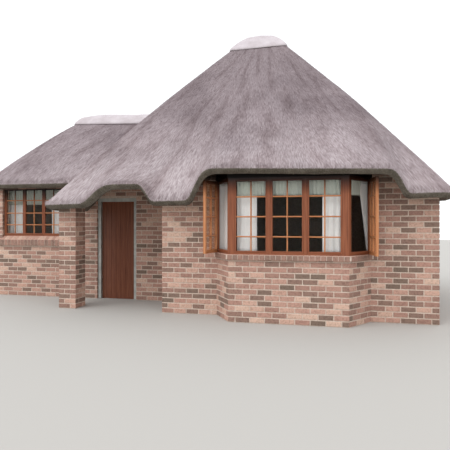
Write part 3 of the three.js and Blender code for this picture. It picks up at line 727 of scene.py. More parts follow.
def tinted(tree, laid, seed):
    """Each instance gets a tint between 0 and 1."""
    draw = add(tree, "FunctionNodeRandomValue", {2: 0.0, 3: 1.0, "Seed": seed}).outputs[1]
    return add(tree, STORE, {0: laid, "Name": "tint", "Value": draw}, domain="INSTANCE")


def end_tree(tree, geometry, material):
    dressed = add(tree, "GeometryNodeSetMaterial", {0: geometry, "Material": material})
    add(tree, "NodeGroupOutput", {0: dressed})
    return tree


def grown(name, source, tree, values):
    """Runs a tree on a source mesh, and keeps the result as a plain mesh of its own."""
    carrier = linked(name + "_carrier", source)
    modifier = carrier.modifiers.new("grow", "NODES")
    modifier.node_group = tree
    for item in tree.interface.items_tree:
        if item.name in values:
            modifier[item.identifier] = values[item.name]
    bpy.context.view_layer.update()
    made = bpy.data.meshes.new_from_object(carrier.evaluated_get(bpy.context.evaluated_depsgraph_get()))
    carrier.modifiers.clear()
    bpy.data.objects.remove(carrier)
    made.name = name
    for spare in ("kind", "downhill", "UVMap"):
        if spare in made.attributes:
            made.attributes.remove(made.attributes[spare])
    piece = new_object(name, made)
    print(name, triangles(piece), "triangles")
    return piece


# %% A tree that lays stalks on one kind of face
COMB_LEAST = (0, -0.035, -0.09)
COMB_MOST = (0, -0.012, 0.09)
SIZE_LEAST = (0.6, 0.7, 0.5)
SIZE_MOST = (1.25, 1.3, 0.8)


def stalk_tree():
    tree, given = new_tree("lay_stalks", {
        "Geometry": "Geometry", "Kind": "Int", "Per square metre": "Float", "Length": "Float",
        "Width": "Float", "Overhang": "Float", "Seed": "Int", "Material": "Material",
    })
    kind = add(tree, NAMED, {"Name": "kind"}, data_type="INT")
    chosen = add(tree, "FunctionNodeCompare", {2: kind, 3: given["Kind"]}, data_type="INT", operation="EQUAL")
    spread = add(tree, "GeometryNodeDistributePointsOnFaces", {
        "Mesh": given["Geometry"], "Selection": chosen,
        "Density": given["Per square metre"], "Seed": given["Seed"],
    })
    way = add(tree, NAMED, {"Name": "downhill"}, data_type="FLOAT_VECTOR")
    axes = {0: spread.outputs["Normal"], 1: way}
    lying = add(tree, "FunctionNodeAxesToRotation", axes, primary_axis="Z", secondary_axis="X")
    limits = {0: COMB_LEAST, 1: COMB_MOST, "Seed": 7}
    comb = add(tree, "FunctionNodeRandomValue", limits, data_type="FLOAT_VECTOR")
    turn = add(tree, "FunctionNodeEulerToRotation", {0: comb})
    combed = add(tree, "FunctionNodeRotateRotation", {0: lying, 1: turn}, rotation_space="LOCAL")
    cone = add(tree, "GeometryNodeMeshCone", {
        "Vertices": 3, "Radius Top": 0.0, "Radius Bottom": given["Width"], "Depth": given["Length"],
    })
    downhill = add(tree, "ShaderNodeCombineXYZ", {"X": given["Overhang"]})
    aimed = add(tree, "GeometryNodeTransform", {
        0: cone, "Translation": downhill, "Rotation": (0, math.radians(-90), 0),
    })
    limits = {0: SIZE_LEAST, 1: SIZE_MOST, "Seed": 11}
    size = add(tree, "FunctionNodeRandomValue", limits, data_type="FLOAT_VECTOR")
    laid = add(tree, "GeometryNodeInstanceOnPoints", {
        "Points": spread, "Instance": aimed, "Rotation": combed, "Scale": size,
    })
    there = add(tree, NAMED, {"Name": "UVMap"}, data_type="FLOAT_VECTOR")
    kept = {0: tinted(tree, laid, 13), "Name": "slope", "Value": there}
    placed = add(tree, STORE, kept, domain="INSTANCE", data_type="FLOAT_VECTOR")
    return end_tree(tree, add(tree, "GeometryNodeRealizeInstances", {0: placed}), given["Material"])


lay_stalks = stalk_tree()
print("stalk tree", len(lay_stalks.nodes), "nodes")

# %% Leave bare what the caps and the other roof cover
CAP_START = 0.877


def keep_covered_bare(body, cap_height, surface=None):
    kinds = body.data.attributes["kind"].data
    bare = 0
    for face in body.data.polygons:
        covered = surface and surface.ray_cast(face.center, Vector((0, 0, 1)))[0]
        if kinds[face.index].value < UNDER and (face.center.z > cap_height or covered):
            kinds[face.index].value = BARE
            bare += 1
    print(body.name, bare, "faces left bare")


def height_at(rim, level):
    return slope_points(rim, level)[:, 2].max()


keep_covered_bare(main_body, height_at(rims["main"], CAP_START + 0.01))
keep_covered_bare(wing_body, height_at(rims["wing"], CAP_START + 0.02), main_surface)

# %% Lay the stalks: a coat on the slope, a fringe over the edge, and butt ends on the cut face
COAT = {"Kind": OUTER, "Length": 0.11, "Width": 0.006, "Per square metre": 660.0, "Material": stalk}
FRINGE = {**COAT, "Kind": RIM, "Per square metre": 2600.0, "Overhang": 0.01}
EDGE = {"Kind": CUT, "Length": 0.022, "Width": 0.006, "Per square metre": 2400.0, "Material": cut_stalk}
for label, kind, seed in (("thatch_coat", COAT, 1), ("eave_fringe", FRINGE, 5), ("eave_ends", EDGE, 3)):
    for k, body in enumerate((main_body, wing_body)):
        name = ("main_", "wing_")[k] + label
        grown(name, body.data, lay_stalks, {**kind, "Seed": seed + k})

# %% [markdown]
# A ridge cap is mortar laid over the top course: the same rings, raised by its thickness. It swells
# between ridge and lip, falls away where the ridge ends, and the trowel has rounded its lower edge. Its
# underside rests on the reed. The wing's cap ends inside the main roof, as its thatch does.

# %% The two ridge caps
CAP_CROWN = 0.03
CAP_SWELL = 0.016
CAP_ROUNDED = 0.5
CAP_RAISED = 0.06
CAP_UNEVEN = 0.006
CAP_BEDDED = 0.002


def ridge_cap(name, rim, start, fall, rise=0.0, surface=None):
    """fall is how far its ends drop, and rise how much its top is lifted over its lip."""
    x = rim["ridge"][:, 0]
    from_end = x - x.min() if surface else np.minimum(x - x.min(), x.max() - x)
    near_end = np.clip(1 - from_end / CAP_ROUNDED, 0, 1) ** 2

    def ring(share, raised, swell=CAP_SWELL):
        points = slope_points(rim, start + (TOP_LEVEL - start) * share, raised)
        points[:, 2] += swell * math.sin(math.pi * share) - fall * near_end * share**2
        if swell:
            points[:, 2] += rise * math.sin(math.pi / 2 * share)
        return points

    outer = [ring(share, CAP_RAISED) for share in (1, 0.86, 0.7, 0.52, 0.34, 0.16, 0.05)]
    lip = [ring(0, CAP_RAISED - 0.006), ring(-0.02, CAP_RAISED - 0.02), ring(-0.02, 0.015, 0)]
    rings = [*outer, *lip, ring(0.06, CAP_BEDDED, 0), ring(1, CAP_BEDDED, 0)]
    kinds = [OUTER] * (len(rings) - 1)
    return ringed_solid(name, rings, kinds, [ridge_mortar], CAP_UNEVEN, CAP_CROWN, surface)


main_cap = ridge_cap("main_ridge_cap_floated", rims["main"], CAP_START, 0.035)
wing_cap = ridge_cap("wing_ridge_cap_floated", rims["wing"], CAP_START - 0.026, 0.055, 0.045, main_surface)
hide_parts("main_ridge_cap")
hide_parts("wing_ridge_cap")
print("caps", triangles(main_cap), triangles(wing_cap))

# %% [markdown]
# ## Brickwork
# The bricks are 219 by 72 mm on the face, with upright joints of 16 mm and beds of 18 mm, in stretcher
# bond: every second course starts with a header, so the joints break by half a brick. An array could
# repeat a course, but not turn corners or stop at openings. So the bond is worked out for each wall face
# in whole half-bricks, and openings cut the bricks that they meet. The result is a cloud of points, each
# with a length and a turn, and Geometry Nodes put one bevelled brick on each. They stand 6 mm proud of
# the wall's solid, which shows between them as the mortar.

# %% Lay out the bond
COURSE = 0.09
BRICK_LONG = 0.219
BRICK_HIGH = 0.072
JOINT = 0.016
PROUD = 0.006
BURIED = 0.024
HIGH = 2.9
REVEAL = 0.05
DOOR_REVEAL = 0.03
SHORTEST = 0.03
walls = [node for node in frame["record"]["subparts"] if node["material_slot"] == "face_brick"]
wall_names = [node["node"] for node in walls]
corners, sides = [], []
for name in wall_names:
    mesh = nodes[name].data
    sides += [[len(corners) + v for v in p.vertices] for p in mesh.polygons]
    corners += [v.co.copy() for v in mesh.vertices]
brickwork = BVHTree.FromPolygons(corners, sides)
print("brick solids", len(wall_names))


def backed(point, inward):
    """Whether a wall's solid lies right behind a point of the house on its face."""
    start = point + PLACE - inward * 0.05
    return brickwork.ray_cast(start, inward, 0.07)[0] is not None


def without(piece, low, high):
    """What a hole leaves of a brick, as lengths along the wall."""
    start, end = piece
    return [(s, e) for s, e in ((start, min(end, low)), (max(start, high), end)) if e - s > SHORTEST]


def lay_face(bricks, start, end, shift=0, holes=(), low=0, high=HIGH):
    """Bricks for one wall face, seen from outside from its left end to its right end.
    shift is 1 where even courses start with a header. Returns the shift of the face round the corner."""
    start, end = Vector((*start, 0)), Vector((*end, 0))
    length = (end - start).length
    along = (end - start).normalized()
    inward = Vector((-along.y, along.x, 0))
    turn = math.atan2(along.y, along.x)
    halves = max(1, round((length + JOINT) / (BRICK_LONG + JOINT) * 2))
    half = (length + JOINT) / halves
    for course in range(round(low / COURSE), math.ceil(high / COURSE)):
        middle = (course + 0.5) * COURSE
        for k in range(-((course + shift) % 2), halves, 2):
            pieces = [(max(0, k) * half, min(halves, k + 2) * half - JOINT)]
            for a, b, z0, z1 in holes:
                if z0 < middle < z1:
                    pieces = [left for piece in pieces for left in without(piece, a, b)]
            for s, e in pieces:
                point = start + along * ((s + e) / 2) + Vector((0, 0, middle))
                if backed(point, inward):
                    bricks.append((point, (e - s) / BRICK_LONG, turn))
    return 1 if (halves + shift) % 2 == 0 else 0


def lay_round(bricks, plan, holes=None, high=HIGH):
    """Faces in a row round a plan, with the holes of each face by its number."""
    shift = 0
    for k, (start, end) in enumerate(zip(plan, plan[1:])):
        shift = lay_face(bricks, start, end, shift, (holes or {}).get(k, ()), 0, high)


def lay_reveals(bricks, start, end, hole, deep=REVEAL):
    """The two brick sides of a hole in a face."""
    a, b, low, high = hole
    start, end = Vector(start), Vector(end)
    along = (end - start).normalized()
    into = Vector((-along.y, along.x)) * deep
    left, right = start + along * a, start + along * b
    for p, q in ((left, left + into), (right + into, right)):
        lay_face(bricks, p, q, low=low, high=high)


# %% Every outside face, anticlockwise seen from above
SILL_HIGH = 0.2
BAY_BASE_HIGH = BAY_SILL - 0.085


def hole_for(opening, left, right):
    return left, right, opening["sill"] - SILL_HIGH, opening["head"]


w = WING_WINDOW
wing_front = (WING_LEFT, WING_FRONT), (MAIN_LEFT, WING_FRONT)
wing_back = (MAIN_LEFT, WING_BACK), (WING_LEFT, WING_BACK)
right_side = (MAIN_RIGHT, 0), (MAIN_RIGHT, MAIN_BACK)
side_hole = hole_for(SIDE_WINDOW, SIDE_WINDOW_FROM, SIDE_WINDOW_FROM + SIDE_WINDOW["width"])
wing_hole = hole_for(w, w["left"] - WING_LEFT, w["right"] - WING_LEFT)
rear_hole = hole_for(w, MAIN_LEFT - w["right"], MAIN_LEFT - w["left"])
door_hole = (DOOR["left"] - WING_LEFT, DOOR["right"] - WING_LEFT, 0, DOOR["head"])
main_bricks, wing_bricks, pillar_bricks, bay_bricks = [], [], [], []
back_plan = [(MAIN_LEFT, MAIN_BACK), (MAIN_LEFT, WING_BACK)]
lay_round(main_bricks, [(BAY_LINE[3].x, 0), *right_side, *back_plan], {1: [side_hole]})
lay_round(main_bricks, [(MAIN_LEFT, WING_FRONT), (MAIN_LEFT, 0), (BAY_LINE[0].x, 0)])
lay_reveals(main_bricks, *right_side, side_hole)

lay_face(wing_bricks, *wing_front, holes=[wing_hole, door_hole])
lay_round(wing_bricks, [*wing_back, (WING_LEFT, WING_FRONT)], {0: [rear_hole]})
lay_reveals(wing_bricks, *wing_front, wing_hole)
lay_reveals(wing_bricks, *wing_front, door_hole, DOOR_REVEAL)
lay_reveals(wing_bricks, *wing_back, rear_hole)

for y in (WALL_FRONT, MAIN_BACK - PILLAR):
    x0, x1 = PILLAR_LEFT, PILLAR_LEFT + PILLAR
    lay_round(pillar_bricks, [(x0, y), (x1, y), (x1, y + PILLAR), (x0, y + PILLAR), (x0, y)])
lay_round(bay_bricks, [tuple(p) for p in BAY_LINE], high=BAY_BASE_HIGH)
print("bricks", len(main_bricks), len(wing_bricks), len(pillar_bricks), len(bay_bricks))

# %% One brick, bevelled all round its face
BEVEL = 0.004


def one_brick():
    half_long, half_high = BRICK_LONG / 2, BRICK_HIGH / 2
    points = []
    for y, inset in ((-PROUD, BEVEL), (BEVEL - PROUD, 0), (BURIED, 0)):
        x, z = half_long - inset, half_high - inset
        points += [(-x, y, -z), (x, y, -z), (x, y, z), (-x, y, z)]
    faces = [(0, 1, 2, 3), (11, 10, 9, 8)]
    for ring in (0, 4):
        faces += [(ring + i, ring + 4 + i, ring + 4 + (i + 1) % 4, ring + (i + 1) % 4) for i in range(4)]
    return linked("one_brick", new_mesh("one_brick", points, faces))


brick = one_brick()
print("brick", triangles(brick), "triangles")

# %% A tree that lays a brick on each point, and wears its faces uneven
RIPPLES = 23.0


def brick_tree():
    tree, given = new_tree("lay_bricks", {
        "Geometry": "Geometry", "Brick": "Object", "Seed": "Int",
        "Roughness": "Float", "Material": "Material",
    })
    shape = add(tree, "GeometryNodeObjectInfo", {"Object": given["Brick"]}).outputs["Geometry"]
    stretch = add(tree, NAMED, {"Name": "stretch"}, data_type="FLOAT")
    turn = add(tree, NAMED, {"Name": "turn"}, data_type="FLOAT")
    about = add(tree, "ShaderNodeCombineXYZ", {"Z": turn})
    scale = add(tree, "ShaderNodeCombineXYZ", {"X": stretch, "Y": 1.0, "Z": 1.0})
    laid = add(tree, "GeometryNodeInstanceOnPoints", {
        "Points": given["Geometry"], "Instance": shape, "Scale": scale,
        "Rotation": add(tree, "FunctionNodeEulerToRotation", {0: about}),
    })
    real = add(tree, "GeometryNodeRealizeInstances", {0: tinted(tree, laid, given["Seed"])})
    ripple = add(tree, "ShaderNodeTexNoise", {"Scale": RIPPLES, "Detail": 1.0}).outputs["Color"]
    centred = add(tree, "ShaderNodeVectorMath", {0: ripple, 1: (0.5, 0.5, 0.5)}, operation="SUBTRACT")
    nudge = add(tree, "ShaderNodeVectorMath", {0: centred, "Scale": given["Roughness"]}, operation="SCALE")
    worn = add(tree, "GeometryNodeSetPosition", {0: real, "Offset": nudge})
    return end_tree(tree, worn, given["Material"])


lay_bricks = brick_tree()
for name, bricks, seed in (
    ("main_wall_bricks", main_bricks, 21), ("wing_wall_bricks", wing_bricks, 22),
    ("pillar_bricks", pillar_bricks, 23), ("bay_base_bricks", bay_bricks, 24),
):
    mesh = new_mesh(name + "_points", [point + PLACE for point, _, _ in bricks])
    for k, label in ((1, "stretch"), (2, "turn")):
        values = [b[k] for b in bricks]
        mesh.attributes.new(label, "FLOAT", "POINT").data.foreach_set("value", values)
    values = {"Brick": brick, "Seed": seed, "Roughness": 0.005, "Material": face_brick}
    grown(name, mesh, lay_bricks, values)
coat_solids(wall_names, mortar)

# %% [markdown]
# ## Joinery
# A joiner builds a window from bars: planed sections with their edges just broken. A boxy window model
# would lose the light that these edges catch. So one function adds a bar with chamfered edges between
# two points, with its grain along its UV map. Every window is drawn in its own frame, x along the wall,
# y into it and z up, and a matrix carries it to its wall.

# %% Bars, posts and panes
CHAMFER = 0.004
TIMBER = "varnished_timber"
UNTURNED = Matrix.Identity(4)


def at(corner, z, angle):
    return Matrix.Translation((*corner, z)) @ Matrix.Rotation(angle, 4, "Z")


def new_sink():
    return {"points": [], "faces": [], "uvs": []}


def add_prism(sink, outline, sweep):
    """A prism on an outline that runs anticlockwise seen against its sweep, with its grain along it."""
    base = len(sink["points"])
    count = len(outline)
    sink["points"] += outline + [p + sweep for p in outline]
    length = sweep.length
    grain_from = (base * 0.37) % 5
    around = 0.0
    for i in range(count):
        j = (i + 1) % count
        width = (outline[j] - outline[i]).length
        sink["faces"].append((base + i, base + j, base + count + j, base + count + i))
        sink["uvs"] += [(grain_from, around), (grain_from, around + width),
                        (grain_from + length, around + width), (grain_from + length, around)]
        around += width
    sink["faces"].append(tuple(base + count + i for i in range(count)))
    sink["faces"].append(tuple(base + i for i in reversed(range(count))))
    sink["uvs"] += [(grain_from, 0.01 * i) for i in range(2 * count)]


def add_bar(sink, place, start, end, wide, deep, across=(0, 1, 0), chamfer=CHAMFER):
    """A chamfered bar from start to end. deep is its size along the across direction."""
    start, end = place @ Vector(start), place @ Vector(end)
    axis = (end - start).normalized()
    back = (place.to_3x3() @ Vector(across)).normalized()
    side = axis.cross(back).normalized()
    a, b = wide / 2, deep / 2
    c = min(chamfer, a / 1.3, b / 2)
    half = [(a - c, -b), (a, c - b), (a, b - c), (a - c, b)]
    outline = half + [(-x, -y) for x, y in half]
    add_prism(sink, [start + side * x + back * y for x, y in outline], end - start)


def finish_sink(name, sink, material, slot, *replaced):
    piece = new_piece(name, sink["points"], sink["faces"], [material], sink["uvs"])
    if replaced:
        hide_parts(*replaced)
    print(name, triangles(piece), "triangles")
    return piece


# %% A sash with its glazing bars and panes
BAR = 0.022
BAR_DEEP = 0.032
SPLAY = 0.008
SASH = 0.05
STILE = 0.026
PANE_HALF = 0.002
PANE_LET_IN = 0.004


def add_sash(wood, bars, panes, place, x0, x1, z0, z1, rows, front):
    """A sash round the light x0..x1, z0..z1. Its members lie just outside the light, on the frame."""
    middle = front + SASH / 2
    for x in (x0 - STILE / 2, x1 + STILE / 2):
        add_bar(wood, place, (x, middle, z0 - STILE), (x, middle, z1 + STILE), STILE, SASH)
    for z in (z0 - STILE / 2, z1 + STILE / 2):
        add_bar(wood, place, (x0, middle, z), (x1, middle, z), STILE, SASH)
    x = (x0 + x1) / 2
    add_bar(bars, place, (x, middle, z0), (x, middle, z1), BAR, BAR_DEEP, chamfer=SPLAY)
    for z in rows:
        add_bar(bars, place, (x0, middle, z), (x1, middle, z), BAR, BAR_DEEP, chamfer=SPLAY)
    left, right, foot = x0 - PANE_LET_IN, x1 + PANE_LET_IN, z0 - PANE_LET_IN
    near, far = middle - PANE_HALF, middle + PANE_HALF
    lower = [place @ Vector((*p, foot)) for p in ((left, near), (right, near), (right, far), (left, far))]
    add_prism(panes, lower, place.to_3x3() @ Vector((0, 0, z1 - z0 + 2 * PANE_LET_IN)))


# %% The plain windows
POST = 0.058
CASEMENT_POST = 0.07
INNER_POST = 0.03
RAIL = 0.062
FRAME_DEEP = 0.08
OUTER_BAR = 0.036
GAP = 0.0005
wing_rows = [z - WING_WINDOW["sill"] for z in (1.56, 1.82, 2.1)]
side_rows = [0.32, 0.58]
PLAIN_WINDOWS = {
    "wing_window": ((w["left"], WING_FRONT), 0, wing_wide, WING_WINDOW, wing_rows),
    "wing_back_window": ((w["right"], WING_BACK), math.pi, wing_wide, WING_WINDOW, wing_rows),
    "side_window": (
        (MAIN_RIGHT, SIDE_WINDOW_FROM), math.pi / 2, SIDE_WINDOW["width"], SIDE_WINDOW, side_rows,
    ),
}


def plain_window(name, corner, angle, width, opening, rows):
    place = at(corner, opening["sill"], angle)
    high = opening["head"] - opening["sill"]
    wood, bars, panes = new_sink(), new_sink(), new_sink()
    y = REVEAL + FRAME_DEEP / 2 + 0.004
    deep = FRAME_DEEP - 0.008
    half = OUTER_BAR / 2
    for x in (half + GAP, width - half - GAP):
        add_bar(wood, place, (x, y, 0), (x, y, high), OUTER_BAR, deep)
    for z in (half, high - half):
        add_bar(wood, place, (OUTER_BAR, y, z), (width - OUTER_BAR, y, z), OUTER_BAR, deep)
    pitch = (width - POST) / 3
    light = pitch - CASEMENT_POST
    edge = (width - 2 * pitch - light) / 2
    for i in (1, 2):
        x = edge + i * pitch - CASEMENT_POST / 2
        add_bar(wood, place, (x, y, OUTER_BAR), (x, y, high - OUTER_BAR), INNER_POST, deep)
    for i in range(3):
        x0 = edge + i * pitch
        add_sash(wood, bars, panes, place, x0, x0 + light, RAIL, high - RAIL, rows, REVEAL)
    finish_sink(name + "_joinery", wood, red_posts, TIMBER, name + "_frame")
    finish_sink(name + "_glazing_bars", bars, orange_bars, TIMBER)
    finish_sink(name + "_panes", panes, glass, "window_glass", name + "_glass")


for name, details in PLAIN_WINDOWS.items():
    plain_window(name, *details)

# %% [markdown]
# The bay's frame has two bent corner posts, two mullions, and a sash in each front light. A side light has
# no sash of its own, because its casement stands open. Over the head runs a deep beam up to the thatch,
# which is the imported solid's own shape, cut off at the head of the frame.

# %% The bay's posts, rails and sashes
CORNER_POST = 0.13
CORNER_POST_SIDE = 0.07
WALL_POST = 0.034
WALL_POST_DEEP = 0.036
SIDE_RAIL_DEEP = 0.072
MULLION = 0.112
MULLION_PITCH = 0.574
MID_FRAME = FRAME_DEEP / 2
ROWS = [1.38, 1.7, 2.02]


def stretch(k):
    """Start, direction, inward direction and length of one side of the bay."""
    start, end = BAY_LINE[k], BAY_LINE[k + 1]
    along = (end - start).normalized()
    return start, along, Vector((-along.y, along.x)), (end - start).length


def bay_place(k, z=0):
    start, along, _, _ = stretch(k)
    return at(start, z, math.atan2(along.y, along.x))


def corner_outline(k, before, after, inset, deep):
    """The bent outline of a post at a corner of the bay, between two depths."""
    (_, a1, n1, _), (p, a2, n2, _) = stretch(k - 1), stretch(k)
    mitre = (n1 + n2).normalized()
    mitre /= mitre.dot(n1)
    front = [p - a1 * before + n1 * inset, p + mitre * inset, p + a2 * after + n2 * inset]
    rear = [p + a2 * after + n2 * deep, p + mitre * deep, p - a1 * before + n1 * deep]
    return [Vector((*q, BAY_SILL)) for q in front + rear]


wood, bars, panes = new_sink(), new_sink(), new_sink()
up = Vector((0, 0, BAY_HEAD - BAY_SILL))
for k, before, after in ((1, CORNER_POST_SIDE, CORNER_POST), (2, CORNER_POST, CORNER_POST_SIDE)):
    add_prism(wood, corner_outline(k, before - STILE, after - STILE, 0.0, FRAME_DEEP), up)
    add_prism(wood, corner_outline(k, before, after, 0.008, FRAME_DEEP - 0.004), up)
front_long = 2 * BAY_HALF_FRONT
edges = [CORNER_POST]
for side in (-1, 1):
    x = BAY_HALF_FRONT + side * MULLION_PITCH / 2
    edges += [x - MULLION / 2, x + MULLION / 2]
    foot, head = (x, MID_FRAME, BAY_SILL), (x, MID_FRAME, BAY_HEAD)
    add_bar(wood, bay_place(1), foot, head, MULLION - 2 * STILE, FRAME_DEEP)
edges.append(front_long - CORNER_POST)
for z in (BAY_SILL + OUTER_BAR / 2, BAY_HEAD - OUTER_BAR / 2):
    ends = (0.03, MID_FRAME, z), (front_long - 0.03, MID_FRAME, z)
    add_bar(wood, bay_place(1), *ends, OUTER_BAR, FRAME_DEEP - 0.004)
for x0, x1 in zip(edges[::2], edges[1::2]):
    add_sash(wood, bars, panes, bay_place(1), x0, x1, BAY_SILL + RAIL, BAY_HEAD - RAIL, ROWS, 0.004)
for k in (0, 2):
    long = stretch(k)[3]
    x = WALL_POST / 2 if k == 0 else long - WALL_POST / 2
    add_bar(wood, bay_place(k), (x, 0.022, BAY_SILL), (x, 0.022, BAY_HEAD), WALL_POST, WALL_POST_DEEP)
    for z in (BAY_SILL + RAIL / 2, BAY_HEAD - RAIL / 2):
        add_bar(wood, bay_place(k), (0.02, 0.042, z), (long - 0.02, 0.042, z), RAIL, SIDE_RAIL_DEEP)
finish_sink("bay_joinery", wood, red_posts, TIMBER, "bay_frame")
finish_sink("bay_glazing_bars", bars, orange_bars, TIMBER)
finish_sink("bay_panes", panes, glass, "window_glass", "bay_front_glass")

# %% The beam over the bay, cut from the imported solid
beam = bmesh.new()
beam.from_mesh(nodes["bay_frame"].data)
bmesh.ops.remove_doubles(beam, verts=beam.verts, dist=1e-4)
level_cut = {"plane_co": (0, 0, BAY_HEAD), "plane_no": (0, 0, 1), "clear_inner": True}
cut = bmesh.ops.bisect_plane(beam, geom=beam.verts[:] + beam.edges[:] + beam.faces[:], **level_cut)
rim_edges = [item for item in cut["geom_cut"] if isinstance(item, bmesh.types.BMEdge)]
bmesh.ops.holes_fill(beam, edges=rim_edges)
layer = beam.loops.layers.uv.new("UVMap")
for face in beam.faces:
    flat_run = Vector((-face.normal.y, face.normal.x, 0))
    run = flat_run.normalized() if flat_run.length > 0.1 else Vector((1, 0, 0))
    for loop in face.loops:
        loop[layer].uv = (loop.vert.co.dot(run), loop.vert.co.z)
beam_mesh = bpy.data.meshes.new("bay_head_beam")
beam.to_mesh(beam_mesh)
beam.free()
# The beam's near-black colour is painted shade.
beam_mesh.materials.append(beam_in_painted_shade)
print("beam", triangles(new_object("bay_head_beam", beam_mesh)))

# %% [markdown]
# The two open casements hang on the wall posts, and stand nearly square to the front wall. Their panes
# are the imported ones, under glass tinted with dust and a painted reflection.

# %% The open casements
LEAF = {"start": 0.041, "wide": 0.485, "thick": 0.045, "stile": 0.045, "rail": 0.06}
LEAF_SWING = 9.5
LEAF_INSET = 0.011
LEAF_HIGH = BAY_HEAD - BAY_SILL - 0.026
LEAF_UPRIGHT_DEEP = 0.042
LEAF_BAR_DEEP = 0.056


def open_leaf(name, side):
    hinge = (BAY_MIDDLE + side * (BAY_HALF_OPENING - LEAF_INSET), 0)
    place = at(hinge, BAY_SILL + 0.004, math.radians(-90 + side * LEAF_SWING))
    wood = new_sink()
    a, b = LEAF["start"], LEAF["start"] + LEAF["wide"]
    s, r = LEAF["stile"], LEAF["rail"]
    for x in (a + s / 2, b - s / 2):
        add_bar(wood, place, (x, 0, 0), (x, 0, LEAF_HIGH), s, LEAF["thick"])
    for z in (r / 2, LEAF_HIGH - r / 2):
        add_bar(wood, place, (a + s, 0, z), (b - s, 0, z), r, LEAF["thick"])
    x = (a + b) / 2
    add_bar(wood, place, (x, 0, r), (x, 0, LEAF_HIGH - r), BAR, LEAF_UPRIGHT_DEEP)
    for z in ROWS:
        add_bar(wood, place, (a + s, 0, z - BAY_SILL), (b - s, 0, z - BAY_SILL), BAR, LEAF_BAR_DEEP)
    finish_sink(name + "_joinery", wood, orange_bars, TIMBER, name)


open_leaf("bay_left_leaf", -1)
open_leaf("bay_right_leaf", 1)
coat_solids(["bay_left_leaf_glass", "bay_right_leaf_glass"], dust_and_reflection_glass)

# %% [markdown]
# The porch door hangs in a pressed-steel frame, painted a pale grey. Its leaf is seven upright boards
# with V-joints, which the chamfers of a bar give, and only its edge catches light in the porch's shade.

# %% The door
BOARDS = 7
wood = new_sink()
door_low, door_high = [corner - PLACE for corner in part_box("door_leaf")]
board = (door_high.x - door_low.x) / BOARDS
for i in range(BOARDS):
    x = door_low.x + (i + 0.5) * board
    y = (door_low.y + door_high.y) / 2
    ends = (x, y, door_low.z), (x, y, door_high.z)
    add_bar(wood, UNTURNED, *ends, board, door_high.y - door_low.y)
finish_sink("door_boards", wood, door_boards, TIMBER, "door_leaf")
coat_solids(["door_frame"], painted_steel)
coat_solids(["floor_slab"], concrete)

# %% [markdown]
# Sills are bricks on edge, laid side by side with a fall to the front. Each is one prism with a profile
# of its own: a nose that stands out from the wall, and a sloping top that runs in under the frame. The top
# is painted paler, as painted light from above.

# %% Bricks on edge
ON_EDGE = 0.086
EDGE_JOINT = 0.01
TOP_PAINTED_LIGHT = 0.5
TOP_FACE = 1
EAR = 0.11
NOSE = [(-0.055, -0.204), (-0.055, -0.078), (0.0, -0.035), (0.0, -0.204)]
THROUGH = [(-0.055, -0.204), (-0.055, -0.078), (0.049, 0.004), (0.049, -0.03), (0.0, -0.07), (0.0, -0.204)]
BAY_NOSE = [(-0.05, -0.079), (-0.05, -0.004), (-0.004, 0.006), (-0.004, -0.03), (0.01, -0.079)]


def edge_bricks(sink, place, x0, x1, outline, tints):
    count = max(1, round((x1 - x0) / ON_EDGE))
    pitch = (x1 - x0) / count
    for i in range(count):
        low, high = x0 + i * pitch + EDGE_JOINT / 2, x0 + (i + 1) * pitch - EDGE_JOINT / 2
        points = [place @ Vector((low, y, z)) for y, z in outline]
        add_prism(sink, points, place.to_3x3() @ Vector((high - low, 0, 0)))
        draw = 0.15 + 0.3 * noise.random()
        # Painted light: the top face's tint is raised, as if lit from above.
        tints += [draw + (TOP_PAINTED_LIGHT if face == TOP_FACE else 0) for face in range(len(outline) + 2)]


def finish_sill(name, stretches):
    """A sill from stretches, each with its place, its two ends and its profile."""
    sink, tints = new_sink(), []
    for place, x0, x1, outline in stretches:
        edge_bricks(sink, place, x0, x1, outline, tints)
    piece = finish_sink(name, sink, face_brick, "face_brick")
    piece.data.attributes.new("tint", "FLOAT", "FACE").data.foreach_set("value", tints)


noise.seed_set(31)
for name, (corner, angle, wide, opening, _) in PLAIN_WINDOWS.items():
    place = at(corner, opening["sill"], angle)
    parts = [(place, -EAR, 0, NOSE), (place, 0, wide, THROUGH), (place, wide, wide + EAR, NOSE)]
    finish_sill(name + "_sill_bricks", parts)
bay_sides = []
for k, from_start, past_end in ((0, 0.03, 0.012), (1, -0.012, 0.012), (2, -0.012, -0.03)):
    bay_sides.append((bay_place(k, BAY_SILL), from_start, stretch(k)[3] + past_end, BAY_NOSE))
finish_sill("bay_sill_bricks", bay_sides)

# %% [markdown]
# ## Curtains
# A curtain is flat cloth, gathered on its heading. It could be simulated, but nobody sees it fall. So each
# is a sheet whose folds are a wave along its track: shallow at the heading, deeper at the hem. The flat
# width is the wave's real length. A tied-back curtain has the same folds, drawn towards the wall as they
# go down. Solidify gives the cloth its thickness.

# %% A function for hung cloth
CLOTH_THICK = 0.0016
PER_FOLD = 12
ROW_HIGH = 0.09
DRIFT = 0.35
TRACK_WIDE = 0.03
TRACK_HIGH = 0.014


def on_path(path, s):
    """The point at a length along a plan path, and the direction square to it."""
    for a, b in zip(path, path[1:]):
        length = (b - a).length
        if s <= length or b is path[-1]:
            way = (b - a) / length
            return a + way * s, Vector((-way.y, way.x))
        s -= length


def wavy_line(path, total, share, down, waves, size):
    """One row of a curtain: its points, and their lengths along the cloth."""
    points, runs, run = [], [], 0.0
    columns = waves * PER_FOLD
    for s in (c / columns for c in range(columns + 1)):
        drift = DRIFT * noise.noise(Vector((s * total * 3, down * 1.5, total)))
        p, side = on_path(path, s * share * total)
        q = p + side * math.sin((s * waves + drift) * 2 * math.pi) * size / 2
        run += (q - points[-1]).length if points else 0.0
        points.append(q)
        runs.append(run)
    return points, runs


